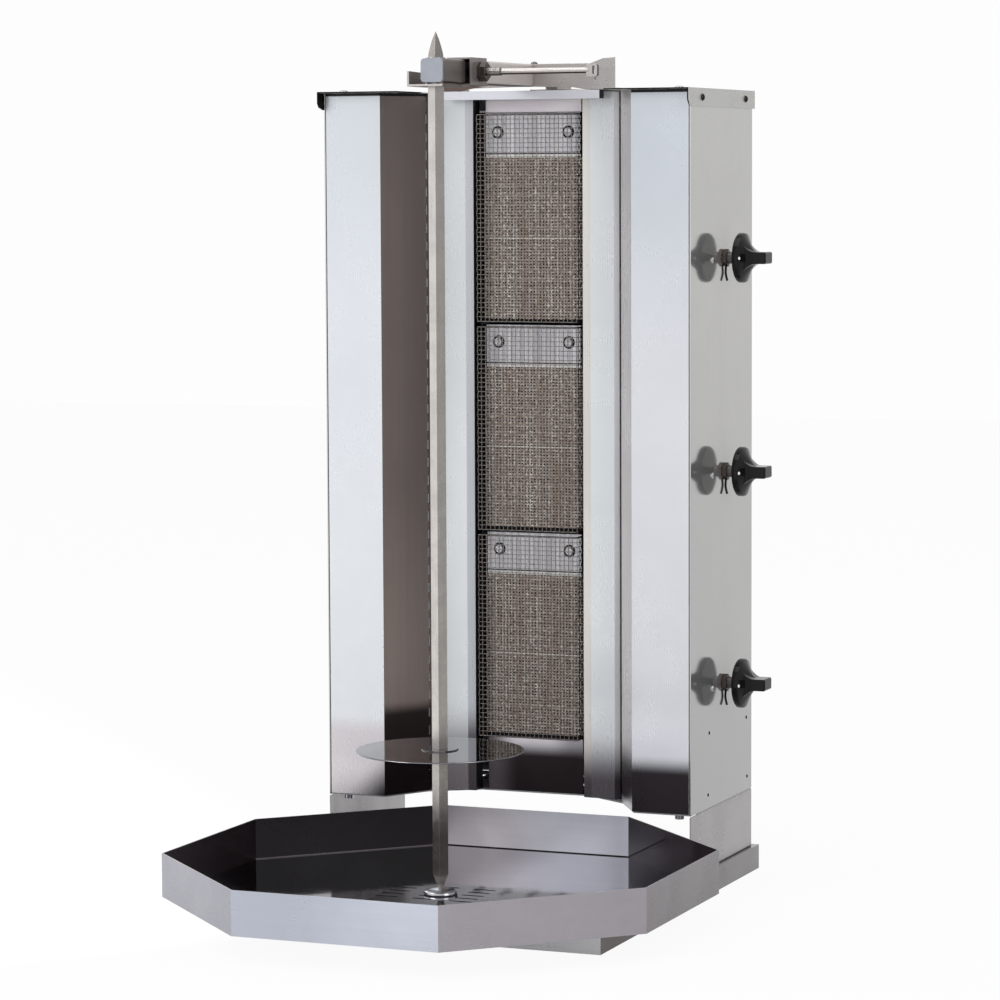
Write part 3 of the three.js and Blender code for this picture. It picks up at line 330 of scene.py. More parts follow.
# %% Brushed grain group
grain_tree, grain_in, grain_out = new_group(
    "brushed_grain",
    [("Place", "vector", (0, 0, 0)), ("Squeeze", "vector", (1, 1, 0.02)), ("Fineness", "value", 900.0)],
    [("Streak", "value"), ("Height", "value")])
grain_scale = grain_tree.nodes.new("ShaderNodeVectorMath")
grain_scale.operation = "MULTIPLY"
grain_fine = grain_tree.nodes.new("ShaderNodeTexNoise")
grain_broad = grain_tree.nodes.new("ShaderNodeTexNoise")
grain_fine.inputs["Detail"].default_value = 3
grain_broad.inputs["Detail"].default_value = 2
link_nodes(grain_tree, [
    (grain_in.outputs["Place"], grain_scale.inputs[0]),
    (grain_in.outputs["Squeeze"], grain_scale.inputs[1]),
    (grain_scale.outputs[0], grain_fine.inputs["Vector"]),
    (grain_scale.outputs[0], grain_broad.inputs["Vector"]),
    (grain_in.outputs["Fineness"], grain_fine.inputs["Scale"]),
    (maths(grain_tree, "MULTIPLY", grain_in.outputs["Fineness"], 0.17), grain_broad.inputs["Scale"]),
])
grain_sum = maths(grain_tree, "ADD", maths(grain_tree, "MULTIPLY", grain_fine.outputs[0], 0.55),
                  maths(grain_tree, "MULTIPLY", grain_broad.outputs[0], 0.45))
link_nodes(grain_tree, [
    (remap(grain_tree, grain_sum, 0.32, 0.68, smooth=False), grain_out.inputs["Streak"]),
    (grain_sum, grain_out.inputs["Height"]),
])
print("brushed grain:", len(grain_tree.nodes), "nodes")

# %% [markdown]
# **Smudges.** Hands, cloths and fat leave broad soft patches on steel. They hardly change its colour
# but make it more or less shiny, so the group gives one mask between 0 and 1.

# %% Smudge group
smudge_tree, smudge_in, smudge_out = new_group(
    "smudges", [("Place", "vector", (0, 0, 0)), ("Size", "value", 9.0)], [("Patch", "value")])
smudge_noise = smudge_tree.nodes.new("ShaderNodeTexNoise")
smudge_noise.inputs["Detail"].default_value = 5
smudge_noise.inputs["Roughness"].default_value = 0.62
smudge_noise.inputs["Distortion"].default_value = 0.4
link_nodes(smudge_tree, [
    (smudge_in.outputs["Place"], smudge_noise.inputs["Vector"]),
    (smudge_in.outputs["Size"], smudge_noise.inputs["Scale"]),
    (remap(smudge_tree, smudge_noise.outputs[0], 0.36, 0.66), smudge_out.inputs["Patch"]),
])
print("smudges:", len(smudge_tree.nodes), "nodes")

# %% [markdown]
# ** Painted tone steps.** The finishes use this group to paint reflections, shadows and highlights into
# a sheet's colour at fixed places, such as a dark lower end or the shadow under the lid. The group
# measures how far a point lies along a direction and gives a soft step between two distances.

# %% Tone step group
step_tree, step_in, step_out = new_group(
    "tone_step",
    [("Place", "vector", (0, 0, 0)), ("Direction", "vector", (0, 0, 1)), ("From", "value", 0.0),
     ("To", "value", 1.0)],
    [("Step", "value")])
step_dot = step_tree.nodes.new("ShaderNodeVectorMath")
step_dot.operation = "DOT_PRODUCT"
link_nodes(step_tree, [
    (step_in.outputs["Place"], step_dot.inputs[0]),
    (step_in.outputs["Direction"], step_dot.inputs[1]),
])
step_value = remap(step_tree, step_dot.outputs["Value"], step_in.outputs["From"], step_in.outputs["To"])
step_tree.links.new(step_value, step_out.inputs["Step"])
print("shader groups:", [g.name for g in bpy.data.node_groups])


# %% [markdown]
# ## Steel finishes
# Every steel part here is the same recipe with other numbers: a base colour, the way the grain runs,
# how rough it is, and up to a few tone steps, each towards its own darker or lighter colour. The steps
# paint light and shade into the colour, and many sheets get lighter and darker copies of one steel on
# faces that take more or less light.

# %% Colours and directions
def srgb(r, g, b):
    """A colour written as three numbers up to 255, as the shader wants it."""
    def linear(c):
        c /= 255
        return c / 12.92 if c <= 0.04045 else ((c + 0.055) / 1.055) ** 2.4
    return (linear(r), linear(g), linear(b), 1)


def gray(level):
    return (level, level, level, 1)


ALONG_Z = (1, 1, 0.012)
ALONG_X = (0.012, 1, 1)
ALONG_Y = (1, 0.012, 1)
UP = (0, 0, 1)
DOWN = (0, 0, -1)
RIGHT = (1, 0, 0)
BACK = (0, 1, 0)
DIAGONAL = (math.sqrt(0.5), 0, -math.sqrt(0.5))
print("middle steel as linear colour:", [round(c, 3) for c in srgb(180, 180, 180)[:3]])

# %% [markdown]
# The recipe puts the three groups together. A step is (direction, from, to, colour): past the second
# distance along its direction, the sheet has that colour, so the steps paint reflections, shadows and
# highlights at fixed places. The streaks and the smudges then change the tone a little, and the
# smudges also change how shiny it is.

# %% Steel recipe
ROUGHER_STREAK = 0.02
GRAIN_DEPTH = 0.0001


def place_group(tree, group, values, place):
    node = tree.nodes.new("ShaderNodeGroup")
    node.node_tree = group
    tree.links.new(place, node.inputs["Place"])
    for label, value in values.items():
        node.inputs[label].default_value = value
    return node


def new_material(name):
    """A material, its tree, its Principled shader and the object coordinates that place its grain."""
    material = bpy.data.materials.new(name)
    material.use_nodes = True
    tree = material.node_tree
    place = tree.nodes.new("ShaderNodeTexCoord").outputs["Object"]
    return material, tree, tree.nodes["Principled BSDF"], place


def surface(material, metal, specular):
    bsdf = material.node_tree.nodes["Principled BSDF"]
    bsdf.inputs["Metallic"].default_value = metal
    bsdf.inputs["Specular IOR Level"].default_value = specular
    return material


def raised(tree, height, strength, distance):
    bump = tree.nodes.new("ShaderNodeBump")
    bump.inputs["Strength"].default_value = strength
    bump.inputs["Distance"].default_value = distance
    tree.links.new(height, bump.inputs["Height"])
    return bump.outputs[0]


def steel(name, color, grain=ALONG_Z, metal=0.5, rough=0.3, steps=(), contrast=0.04, fineness=700.0,
          smudge=0.05, patch_size=7.0, bump=0.008, specular=0.5):
    material, tree, bsdf, place = new_material(name)
    brushed = place_group(tree, grain_tree, {"Squeeze": grain, "Fineness": fineness}, place)
    patch = place_group(tree, smudge_tree, {"Size": patch_size}, place).outputs["Patch"]
    tone = color
    for direction, start, end, other in steps:
        step = place_group(tree, step_tree, {"Direction": direction, "From": start, "To": end}, place)
        tone = mix_color(tree, step.outputs["Step"], tone, other)
    streaks = mix_color(tree, brushed.outputs["Streak"], gray(1 - contrast), gray(1 + contrast * 0.4))
    tone = mix_color(tree, 1.0, tone, streaks, "MULTIPLY")
    tone = mix_color(tree, 1.0, tone, mix_color(tree, patch, gray(1 - smudge), gray(1)), "MULTIPLY")
    rougher = maths(tree, "MULTIPLY", brushed.outputs["Streak"], ROUGHER_STREAK)
    streak_rough = maths(tree, "ADD", rougher, rough)
    roughness = maths(tree, "ADD", maths(tree, "MULTIPLY", patch, -smudge), streak_rough)
    link_nodes(tree, [
        (tone, bsdf.inputs["Base Color"]),
        (roughness, bsdf.inputs["Roughness"]),
        (raised(tree, brushed.outputs["Height"], bump, GRAIN_DEPTH), bsdf.inputs["Normal"]),
    ])
    return surface(material, metal, specular)


print("steel recipe ready, grain depth in mm:", GRAIN_DEPTH / MM)


# %% [markdown]
# ### The cabinet's sheets
# The two heat shields and the reflectors beside the burners are the brightest sheets. Their lower ends
# carry a painted reflection of the dark tray: on the left shield it starts along a diagonal, and on the
# right one as a level band. Just under the lid, both carry the lid's painted shadow. The upper steps
# paint the slow change of reflected light up the sheets, and the returns, bevels, folds and edges are
# lighter and darker copies of one steel, painted for the light each face gets. The wall along the burner
# slit is painted near black, for the shade in the slit.

# %% Shields and reflectors
# Painted shadow of the lid: a near black band just under it.
LID_SHADOW = (UP, 0.8808, 0.8816, srgb(12, 10, 11))
finishes = {
    "wing_left": steel("shield_face_left", srgb(203, 208, 213), contrast=0.0, bump=0.0, steps=[
        (DOWN, -0.860, -0.620, srgb(219, 222, 228)),
        (DOWN, -0.620, -0.300, srgb(227, 231, 235)),
        (DOWN, -0.190, -0.165, srgb(213, 207, 211)),
        (DOWN, -0.150, -0.125, srgb(224, 219, 222)),
        (DIAGONAL, -0.212, -0.172, srgb(30, 24, 28)),
        LID_SHADOW]),
    "wing_right": steel("shield_face_right", srgb(202, 207, 214), contrast=0.0, bump=0.0, steps=[
        (DOWN, -0.820, -0.500, srgb(221, 222, 227)),
        (DOWN, -0.235, -0.175, srgb(231, 232, 238)),
        (DOWN, -0.161, -0.139, srgb(40, 34, 39)),
        LID_SHADOW]),
    "return_left": steel("shield_return_left", srgb(124, 114, 110), rough=0.24, contrast=0.08, steps=[
        (DOWN, -0.480, -0.220, srgb(158, 146, 140)),
        (DOWN, -0.204, -0.186, srgb(53, 45, 44)),
        (DOWN, -0.160, -0.140, srgb(32, 24, 26)),
        (UP, 0.8806, 0.8814, srgb(12, 10, 11))]),
    "return_right": steel("shield_return_right", srgb(183, 177, 178), steps=[
        (DOWN, -0.660, -0.420, srgb(202, 196, 196)),
        (DOWN, -0.172, -0.138, srgb(30, 24, 27)),
        (DOWN, -0.108, -0.100, srgb(176, 176, 182))]),
    "shield_edge": steel("shield_edges", srgb(244, 244, 246), rough=0.32),
    "reflector_face": steel("reflector_face", srgb(212, 216, 219), contrast=0.0, bump=0.0, steps=[
        (DOWN, -0.750, -0.450, srgb(222, 227, 229)),
        (DOWN, -0.400, -0.240, srgb(233, 237, 240)),
        (DOWN, -0.172, -0.115, srgb(98, 93, 98))]),
    "reflector_face_left": steel("reflector_face_left", srgb(210, 214, 217), contrast=0.0, bump=0.0,
                                 steps=[
        (DOWN, -0.660, -0.430, srgb(226, 230, 233)),
        (DOWN, -0.200, -0.128, srgb(134, 128, 132))]),
    "bevel_left": steel("reflector_bevel_left", srgb(190, 191, 197), steps=[
        (DOWN, -0.660, -0.300, srgb(190, 193, 200)),
        (DOWN, -0.198, -0.150, srgb(80, 75, 78))]),
    "bevel_right": steel("reflector_bevel_right", srgb(212, 209, 205), steps=[
        (DOWN, -0.550, -0.250, srgb(226, 222, 218)),
        (DOWN, -0.165, -0.112, srgb(80, 76, 80))]),
    "reflector_return": steel("reflector_return", srgb(238, 236, 238), rough=0.34, steps=[
        (DOWN, -0.170, -0.115, srgb(84, 80, 83))]),
    "outer_fold": steel("reflector_outer_fold", srgb(246, 244, 246), rough=0.55, metal=0.1, steps=[
        (DOWN, -0.170, -0.115, srgb(56, 52, 55))]),
    # Painted shade: near black for the walls of narrow slits; the tap pins use it as their own black.
    "dark_pin_and_slot_shade": steel("dark_pin_and_painted_slot_shade", srgb(10, 9, 10), rough=0.5, metal=0.2),
}
print("shield and reflector finishes:", len(finishes))

# %% [markdown]
# The side panels are the glossiest sheets: the knobs mirror softly in them. The lid, the plinth and the
# two short walls between plinth and cabinet are plainer, with the grain along their length.

# %% Panels, lid and plinth
finishes |= {
    # Painted reflection: the steps darken the panel a little towards the bottom.
    "panel": steel("side_panel", srgb(216, 215, 213), metal=0.84, rough=0.1, contrast=0.02, bump=0.006,
                   smudge=0.03, steps=[
        (DOWN, -0.660, -0.360, srgb(208, 207, 206)),
        (DOWN, -0.300, -0.150, srgb(203, 202, 202))]),
    "lid": steel("lid_sheet", srgb(199, 198, 194), grain=ALONG_X),
    # Painted light and shade: the recess rail is a lighter copy of the lid's steel, with a painted dark
    # line of shade at its corner.
    "lid_recess": steel("lid_recess_edge", srgb(208, 208, 216), grain=ALONG_X, steps=[
        (RIGHT, 0.0908, 0.0914, srgb(12, 10, 11))]),
    # Near black: painted shadow on the lid's shaded edges and round the header screws, and the rivets' own
    # dark colour.
    "rivet_black_and_painted_shadow": steel("black_for_rivets_and_painted_shadows", srgb(5, 4, 4), grain=ALONG_Y, rough=0.6, metal=0.0,
                      specular=0.08),
    "lid_screw": steel("lid_screw_steel", srgb(58, 54, 52), metal=1.0, rough=0.12),
    "plinth": steel("plinth_sheet", srgb(126, 118, 114), grain=ALONG_Y, smudge=0.12, steps=[
        (BACK, -0.100, 0.120, srgb(151, 148, 149))]),
    # Painted light: the plinth's front edge lies in the tray's shade, yet is a much brighter copy of its
    # steel.
    "plinth_front": steel("plinth_front_sheet", srgb(232, 231, 234), grain=ALONG_X, smudge=0.12),
    # Painted shadow: a black line along the riser's foot where it meets the plinth. The left riser is a
    # lighter copy of the same steel, painted light.
    "riser": steel("riser_sheet", srgb(186, 182, 183), grain=ALONG_Y, smudge=0.1, steps=[
        (DOWN, -0.0292, -0.0288, srgb(8, 7, 7))]),
    "riser_left": steel("riser_left_sheet", srgb(205, 202, 203), grain=ALONG_Y, smudge=0.2),
    "cabinet": steel("inner_sheet", srgb(168, 168, 170), grain=ALONG_X),
    # Painted light and shade: the upper filler grows lighter towards the right, and the lower one is
    # darker at both sides and nearly black along its bottom.
    "filler": steel("filler_sheet", srgb(228, 220, 226), grain=ALONG_X, steps=[
        (RIGHT, 0.000, 0.045, srgb(244, 238, 242))]),
    "filler_low": steel("lower_filler_sheet", srgb(246, 242, 248), grain=ALONG_X, rough=0.24, steps=[
        (RIGHT, 0.015, 0.045, srgb(190, 186, 193)),
        (DOWN, -0.1560, -0.136, srgb(40, 33, 36)),
        (RIGHT, -0.020, -0.056, srgb(104, 95, 99))]),
    "back": steel("rear_sheet", srgb(176, 177, 179)),
}
print("finishes so far:", len(finishes))

# %% [markdown]
# ### Tray, spit and disc
# The tray and the disc are polished, so they get real mirror values. Each tray wall also carries its
# own tone, a copy of the steel painted lighter or darker for the reflection it shows, and the floor
# carries a painted reflection, dark on the left and light on the right. The spit is a drawn square bar
# with a dull, stained surface, a little darker at its top end and towards its foot.

# %% Finishes of tray, spit and disc
TRAY_FLOOR = max(v.co.z for v in nodes["drip_tray"].data.vertices if v.co.z < 40 * MM)


def tray_seam(color):
    """The thin line where a tray wall meets the floor."""
    return (DOWN, -TRAY_FLOOR - 1.3 * MM, -TRAY_FLOOR - 0.9 * MM, color)


finishes |= {
    "tray_floor": steel("tray_floor", srgb(98, 91, 103), grain=ALONG_X, metal=1.0, rough=0.06,
                        smudge=0.04, bump=0.006, steps=[(RIGHT, -0.030, 0.060, srgb(184, 183, 192))]),
    "tray_back": steel("tray_back_wall", srgb(232, 227, 232), grain=ALONG_X, rough=0.2, smudge=0.1, steps=[
        (RIGHT, -0.060, 0.050, srgb(230, 232, 241)),
        tray_seam(srgb(40, 34, 37))]),
    "tray_back_left": steel("tray_back_left_wall", srgb(18, 11, 16), grain=ALONG_X, metal=0.2, steps=[
        ((0.8, 0.2, 0.56), 0.0, 0.16, srgb(60, 46, 38)),
        tray_seam(srgb(120, 114, 118))]),
    "tray_back_right": steel("tray_back_right_wall", srgb(66, 58, 63), rough=0.2, smudge=0.3,
                             patch_size=14.0),
    "tray_dark": steel("tray_dark_wall", srgb(52, 44, 48), rough=0.22),
    "tray_left": steel("tray_left_wall", srgb(147, 146, 156), grain=ALONG_X, rough=0.28, smudge=0.08),
    "tray_front": steel("tray_front_wall", srgb(186, 190, 202), grain=ALONG_X, rough=0.28,
                        contrast=0.03, smudge=0.08, steps=[(RIGHT, -0.040, 0.100, srgb(204, 208, 220))]),
    "tray_front_right": steel("tray_front_right_wall", srgb(178, 173, 179), grain=ALONG_X, rough=0.28,
                              smudge=0.08),
    "tray_side": steel("tray_side_wall", srgb(154, 150, 152), grain=ALONG_Y, smudge=0.08),
    "tray_rim": steel("tray_rim", srgb(176, 176, 182)),
    "spit": steel("spit_bar", srgb(205, 200, 195), rough=0.28, metal=0.9, contrast=0.08, smudge=0.14,
                  patch_size=38.0, steps=[
        (UP, 0.908, 0.920, srgb(174, 169, 166)),
        (DOWN, -0.220, -0.120, srgb(178, 172, 167))]),
    # Painted reflection: the disc stays lighter at its far left and is darker over the rest.
    "disc": steel("disc_plate", srgb(112, 106, 109), grain=ALONG_X, rough=0.05, metal=0.97,
                  contrast=0.03, smudge=0.04, bump=0.004, steps=[
        (RIGHT, -0.078, -0.050, srgb(80, 75, 78))]),
}
print("tray floor level in mm:", round(TRAY_FLOOR / MM, 2), "finishes so far:", len(finishes))

# %% [markdown]
# ### Arm, clamp and wires
# The arm's tube and its folded holders are satin steel. Their undersides and right sides get darker
# copies of it, painted shade for faces that turn away from the light; the tube's side also carries a
# painted black band of shadow where it enters the bracket, and is lighter further back. The clamp bar
# gets a painted highlight on top and painted shade below. The guards' wires are painted black towards
# the back, for the shade in the narrow slit beside the burner.

# %% Finishes of arm, clamp and wires
finishes |= {
    "arm_top": steel("arm_tube_top", srgb(190, 190, 192), grain=ALONG_Y),
    "arm_shaded_side": steel("arm_side_painted_shade", srgb(114, 105, 101), grain=ALONG_Y, contrast=0.12, rough=0.34,
                      steps=[
        (BACK, 0.030, 0.048, srgb(96, 86, 81)),
        (BACK, 0.0490, 0.0510, srgb(3, 2, 2)),
        (BACK, 0.066, 0.072, srgb(221, 213, 209))]),
    "crossbar": steel("crossbar_sheet", srgb(92, 78, 72), grain=ALONG_X, contrast=0.06, smudge=0.1,
                      patch_size=22.0, steps=[
        (RIGHT, -0.055, -0.045, srgb(166, 159, 156)),
        (RIGHT, 0.030, 0.100, srgb(174, 170, 168))]),
    "nut": steel("steel_nut", srgb(96, 88, 85), metal=0.95, rough=0.18),
    "clamp_lit_top": steel("clamp_bar_painted_highlight", srgb(206, 200, 197), grain=ALONG_X, metal=0.8, rough=0.26),
    "clamp_shaded_side": steel("clamp_bar_painted_shade", srgb(66, 56, 52), grain=ALONG_X, metal=0.7),
    "arm_sheet": steel("arm_sheet", srgb(190, 184, 182), grain=ALONG_X, contrast=0.06, smudge=0.1,
                       patch_size=22.0),
    "arm_underside_shade": steel("arm_underside_painted_shade", srgb(58, 42, 38), grain=ALONG_X, rough=0.4),
    "arm_web": steel("bracket_web", srgb(138, 130, 126)),
    "clamp": steel("clamp_bar", srgb(186, 180, 177), grain=ALONG_X, metal=0.8, rough=0.26),
    "dark": steel("dark_steel", srgb(112, 108, 106), rough=0.34, metal=0.8),
    "chrome": steel("bright_fastener", srgb(206, 206, 210), rough=0.16, metal=0.92, bump=0.01),
    # Painted shade: the wires turn black behind the guard's front, where they run into the slit.
    "wire": steel("wire_steel", srgb(136, 129, 125), metal=0.7, fineness=300.0, steps=[
        (BACK, 0.2560, 0.2585, srgb(5, 4, 4))]),
    "wire_edge": steel("wire_binding", srgb(12, 10, 10), rough=0.5, metal=0.2, fineness=300.0),
}
print("finishes so far:", len(finishes))

# %% [markdown]
# The plate over each burner is bright sheet with strong upright bands. It ends in a small folded lip,
# painted as a dark line of shadow with a white highlight under it. Each plate has its own height, so
# each gets its own copy of the finish.

# %% Finishes of the header plates
HEADER_LIP = 4.5 * MM
for level in LEVELS:
    lip_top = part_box(f"burner_header_{level}")[0][2] + HEADER_LIP
    finishes[f"header_{level}"] = steel(
        f"header_sheet_{level}", srgb(218, 217, 222), rough=0.24, metal=0.6, contrast=0.6,
        fineness=240.0, steps=[
            (DOWN, -lip_top - 1.1 * MM, -lip_top - 0.7 * MM, srgb(30, 28, 32)),
            (DOWN, -lip_top + 0.3 * MM, -lip_top + 0.7 * MM, srgb(240, 238, 236))])
    print("lip of the", level, "header in mm:", round(lip_top / MM, 1))


# %% [markdown]
# ## Other finishes
# The burner boxes are dark cast iron, the knobs glossy black plastic, the gas fittings brass, and the
# end cap of the arm is painted. Each is one recipe with its own noise.

# %% Iron, plastic, brass and paint
PATCH_DEPTH = 0.0004


def plain(name, color, rough, metal=0.0, mottle=0.12, size=120.0, bump=0.1, specular=0.5):
    material, tree, bsdf, place = new_material(name)
    patch = place_group(tree, smudge_tree, {"Size": size}, place).outputs["Patch"]
    shades = mix_color(tree, patch, gray(1 - mottle), gray(1 + mottle))
    link_nodes(tree, [
        (mix_color(tree, 1.0, color, shades, "MULTIPLY"), bsdf.inputs["Base Color"]),
        (remap(tree, patch, 0.0, 1.0, rough * 0.9, rough * 1.1), bsdf.inputs["Roughness"]),
        (raised(tree, patch, bump, PATCH_DEPTH), bsdf.inputs["Normal"]),
    ])
    return surface(material, metal, specular)


finishes |= {
    "iron": plain("burner_iron", srgb(14, 12, 12), 0.8, mottle=0.25, bump=0.3, specular=0.15),
    "knob": plain("knob_black", srgb(7, 7, 8), 0.13, mottle=0.15, size=40.0, bump=0.02, specular=0.3),
    "brass": plain("plain_brass", srgb(181, 153, 90), 0.35, metal=0.9),
    "cap": plain("cap_paint", srgb(146, 149, 158), 0.4, mottle=0.04, bump=0.03),
    "white_dot": plain("white_dot", srgb(238, 238, 236), 0.5, mottle=0.03, bump=0.02),
    "gasket": plain("fibre_gasket", srgb(244, 240, 232), 0.9, size=400.0, bump=0.2),
}
print("finishes so far:", len(finishes))

# %% [markdown]
# **Ceramic tiles.** A burner tile is a pale brown block with thousands of small gas holes in even rows.
# A Voronoi texture with very little randomness puts one point in each cell, and the distance to it
# makes the hole. The same mask paints the hole dark, the shade inside it, and feeds the bump, and a
# squeezed grain adds upright streaks: marks in the ceramic, and partly painted shadows of the guard
# wires.

# %% Ceramic
HOLE_PITCH = 3.6 * MM
HOLE_ROWS = (0.95, 0, 1.06)
HOLE_STRAY = 0.16

ceramic, ceramic_tree, ceramic_bsdf, ceramic_place = new_material("tile_ceramic")
ceramic_flat = ceramic_tree.nodes.new("ShaderNodeVectorMath")
ceramic_flat.operation = "MULTIPLY"
ceramic_flat.inputs[1].default_value = HOLE_ROWS
ceramic_holes = ceramic_tree.nodes.new("ShaderNodeTexVoronoi")
ceramic_holes.inputs["Scale"].default_value = 1 / HOLE_PITCH
ceramic_holes.inputs["Randomness"].default_value = HOLE_STRAY
ceramic_grain = place_group(ceramic_tree, grain_tree, {"Squeeze": (1, 1, 0.05), "Fineness": 420.0},
                            ceramic_place)
ceramic_patch = place_group(ceramic_tree, smudge_tree, {"Size": 300.0}, ceramic_place)
link_nodes(ceramic_tree, [
    (ceramic_place, ceramic_flat.inputs[0]),
    (ceramic_flat.outputs[0], ceramic_holes.inputs["Vector"]),
])
ceramic_wall = remap(ceramic_tree, ceramic_holes.outputs["Distance"], 0.24, 0.38)
ceramic_tone = mix_color(ceramic_tree, ceramic_grain.outputs["Streak"], srgb(150, 132, 119),
                         srgb(250, 245, 238))
ceramic_tone = mix_color(ceramic_tree, ceramic_patch.outputs["Patch"], srgb(140, 122, 109), ceramic_tone)
ceramic_tone = mix_color(ceramic_tree, ceramic_wall, srgb(12, 8, 6), ceramic_tone)
link_nodes(ceramic_tree, [
    (ceramic_tone, ceramic_bsdf.inputs["Base Color"]),
    (raised(ceramic_tree, ceramic_wall, 0.5, 0.0006), ceramic_bsdf.inputs["Normal"]),
])
ceramic_bsdf.inputs["Roughness"].default_value = 0.95
finishes["ceramic"] = ceramic
print("finishes:", len(finishes))


# %% [markdown]
# ## Rounded folds
# A folded sheet never has a razor edge: each fold is a small round that catches the light as a thin
# line. The imported solids are loose triangles, so a copy is merged into flat faces first, each face is
# given its finish, and a Bevel modifier rounds every sharp edge. The copy then stands for the solid.
# Its normals are worked out one by one: at each corner, a face takes the normals of the faces round that
# point that turn away by less than SMOOTH_TURN, each weighted by its area. Large faces stay flat and
# the narrow rounds blend into them.

# %% Helpers for meshes and normals
SMOOTH_TURN = math.radians(50)
WELD_GAP = 0.002 * MM
FLAT_TURN = math.radians(0.4)


def link_piece(name, mesh):
    piece = bpy.data.objects.new(name, mesh)
    bpy.context.scene.collection.objects.link(piece)
    return piece


def applied(piece):
    """Turns a piece with modifiers into a plain mesh."""
    bpy.context.view_layer.update()
    graph = bpy.context.evaluated_depsgraph_get()
    mesh = bpy.data.meshes.new_from_object(piece.evaluated_get(graph), preserve_all_data_layers=True,
                                           depsgraph=graph)
    piece.modifiers.clear()
    piece.data = mesh
    return piece


def weigh_normals(mesh):
    """Corner normals that keep large faces flat and let narrow rounds blend into them."""
    least = math.cos(SMOOTH_TURN)
    faces = [(face.normal.copy(), face.area) for face in mesh.polygons]
    around = [[] for _ in mesh.vertices]
    for face in mesh.polygons:
        for corner in face.vertices:
            around[corner].append(face.index)
    normals = [None] * len(mesh.loops)
    for face in mesh.polygons:
        own = faces[face.index][0]
        for loop, corner in zip(face.loop_indices, face.vertices):
            near = (faces[i] for i in around[corner])
            total = sum((n * area for n, area in near if n.dot(own) > least), Vector())
            normals[loop] = total.normalized() if total.length > 0 else own
    mesh.shade_smooth()
    mesh.normals_split_custom_set(normals)


def merged_copy(node):
    """A copy of a solid whose triangles are joined into flat faces."""
    soup = bmesh.new()
    soup.from_mesh(nodes[node].data)
    bmesh.ops.remove_doubles(soup, verts=soup.verts, dist=WELD_GAP)
    bmesh.ops.dissolve_limit(soup, angle_limit=FLAT_TURN, verts=soup.verts, edges=soup.edges)
    mesh = bpy.data.meshes.new(node + "_skin")
    soup.to_mesh(mesh)
    soup.free()
    return mesh


print("triangles in all solids:", sum(len(solid.data.polygons) for solid in nodes.values()))

# %% [markdown]
# One call dresses one solid. Its rules say which faces take another finish than the piece's own. The
# new piece rides with the same body as the solid and takes its place.

# %% Helpers that dress a solid
FOLD = 0.35 * MM
FOLD_STEPS = 2
SHARP = math.radians(28)


def settle(piece, body, slot_name, *replaced):
    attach(piece, body)
    if replaced:
        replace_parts(piece, *replaced)
    return piece


def dress(node, finish, *rules, fold=FOLD, sharp=SHARP):
    """A rounded copy of a solid. Each rule is (finish, test), where test says of a face's middle and
    normal whether the face takes that finish. The last rule that holds wins."""
    mesh = merged_copy(node)
    for name in (finish, *(rule[0] for rule in rules)):
        mesh.materials.append(finishes[name])
    for face in mesh.polygons:
        for index, (_, test) in enumerate(rules):
            if test(face.center, face.normal):
                face.material_index = index + 1
    piece = link_piece(node + "_dressed", mesh)
    bevel = piece.modifiers.new("fold", "BEVEL")
    bevel.width = fold
    bevel.segments = FOLD_STEPS
    bevel.limit_method = "ANGLE"
    bevel.angle_limit = sharp
    bevel.use_clamp_overlap = True
    weigh_normals(applied(piece).data)
    return settle(piece, body_of[node], slot_of[node], node)


print("folds in mm:", round(FOLD / MM, 2))


# %% [markdown]
# ## Shields, reflectors and cabinet
# Each shield is one sheet with a wide front face, a slanted return towards the burners and a narrow
# flange at its corner. A face's normal tells which of these it belongs to, and each takes its own
# lighter or darker copy of the steel, painted for the light that face gets.

# %% Shields
def looks_forward(middle, normal):
    return normal.y < -0.9


def looks_inward(side):
    """A test for the faces that turn from one side's shield towards the burners."""
    def test(middle, normal):
        return normal.x * side < -0.25 and normal.z ** 2 < 0.5
    return test


for side, word in ((-1, "left"), (1, "right")):
    dress(f"heat_shield_{word}", "shield_edge",
          (f"return_{word}", looks_inward(side)), (f"wing_{word}", looks_forward))
    print(word, "shield dressed")

# %% [markdown]
# A reflector shows four kinds of face: a flat one in front, a slightly turned strip beside the
# burners, an outer fold behind the shield, and a narrow wall along the burner slit, painted near black
# for the shade in the slit. Each kind takes its own copy of the steel, painted lighter or darker for the
# light it gets.

# %% Reflectors
OUTER_FOLD_START = 103 * MM
SLIT_REACH = 75 * MM


def reflector_flat(middle, normal):
    return normal.y < -0.995


def reflector_bevel(middle, normal):
    return normal.y < -0.2 and abs(normal.z) < 0.3


def reflector_outer_fold(side):
    def test(middle, normal):
        return normal.y < -0.2 and middle.x * side > OUTER_FOLD_START
    return test


def reflector_slit(side):
    def test(middle, normal):
        return normal.x * side < -0.7 and abs(middle.x) < SLIT_REACH
    return test


for side, word, face_finish in ((-1, "left", "reflector_face_left"), (1, "right", "reflector_face")):
    dress(f"reflector_{word}", "reflector_return",
          (f"bevel_{word}", reflector_bevel), (face_finish, reflector_flat),
          ("outer_fold", reflector_outer_fold(side)), ("dark_pin_and_slot_shade", reflector_slit(side)))
    print(word, "reflector dressed")

# %% [markdown]
# The plain sheets need one finish each. Only the plinth's front edge is brighter than its sides: a much
# brighter copy of the plinth's steel, painted light.

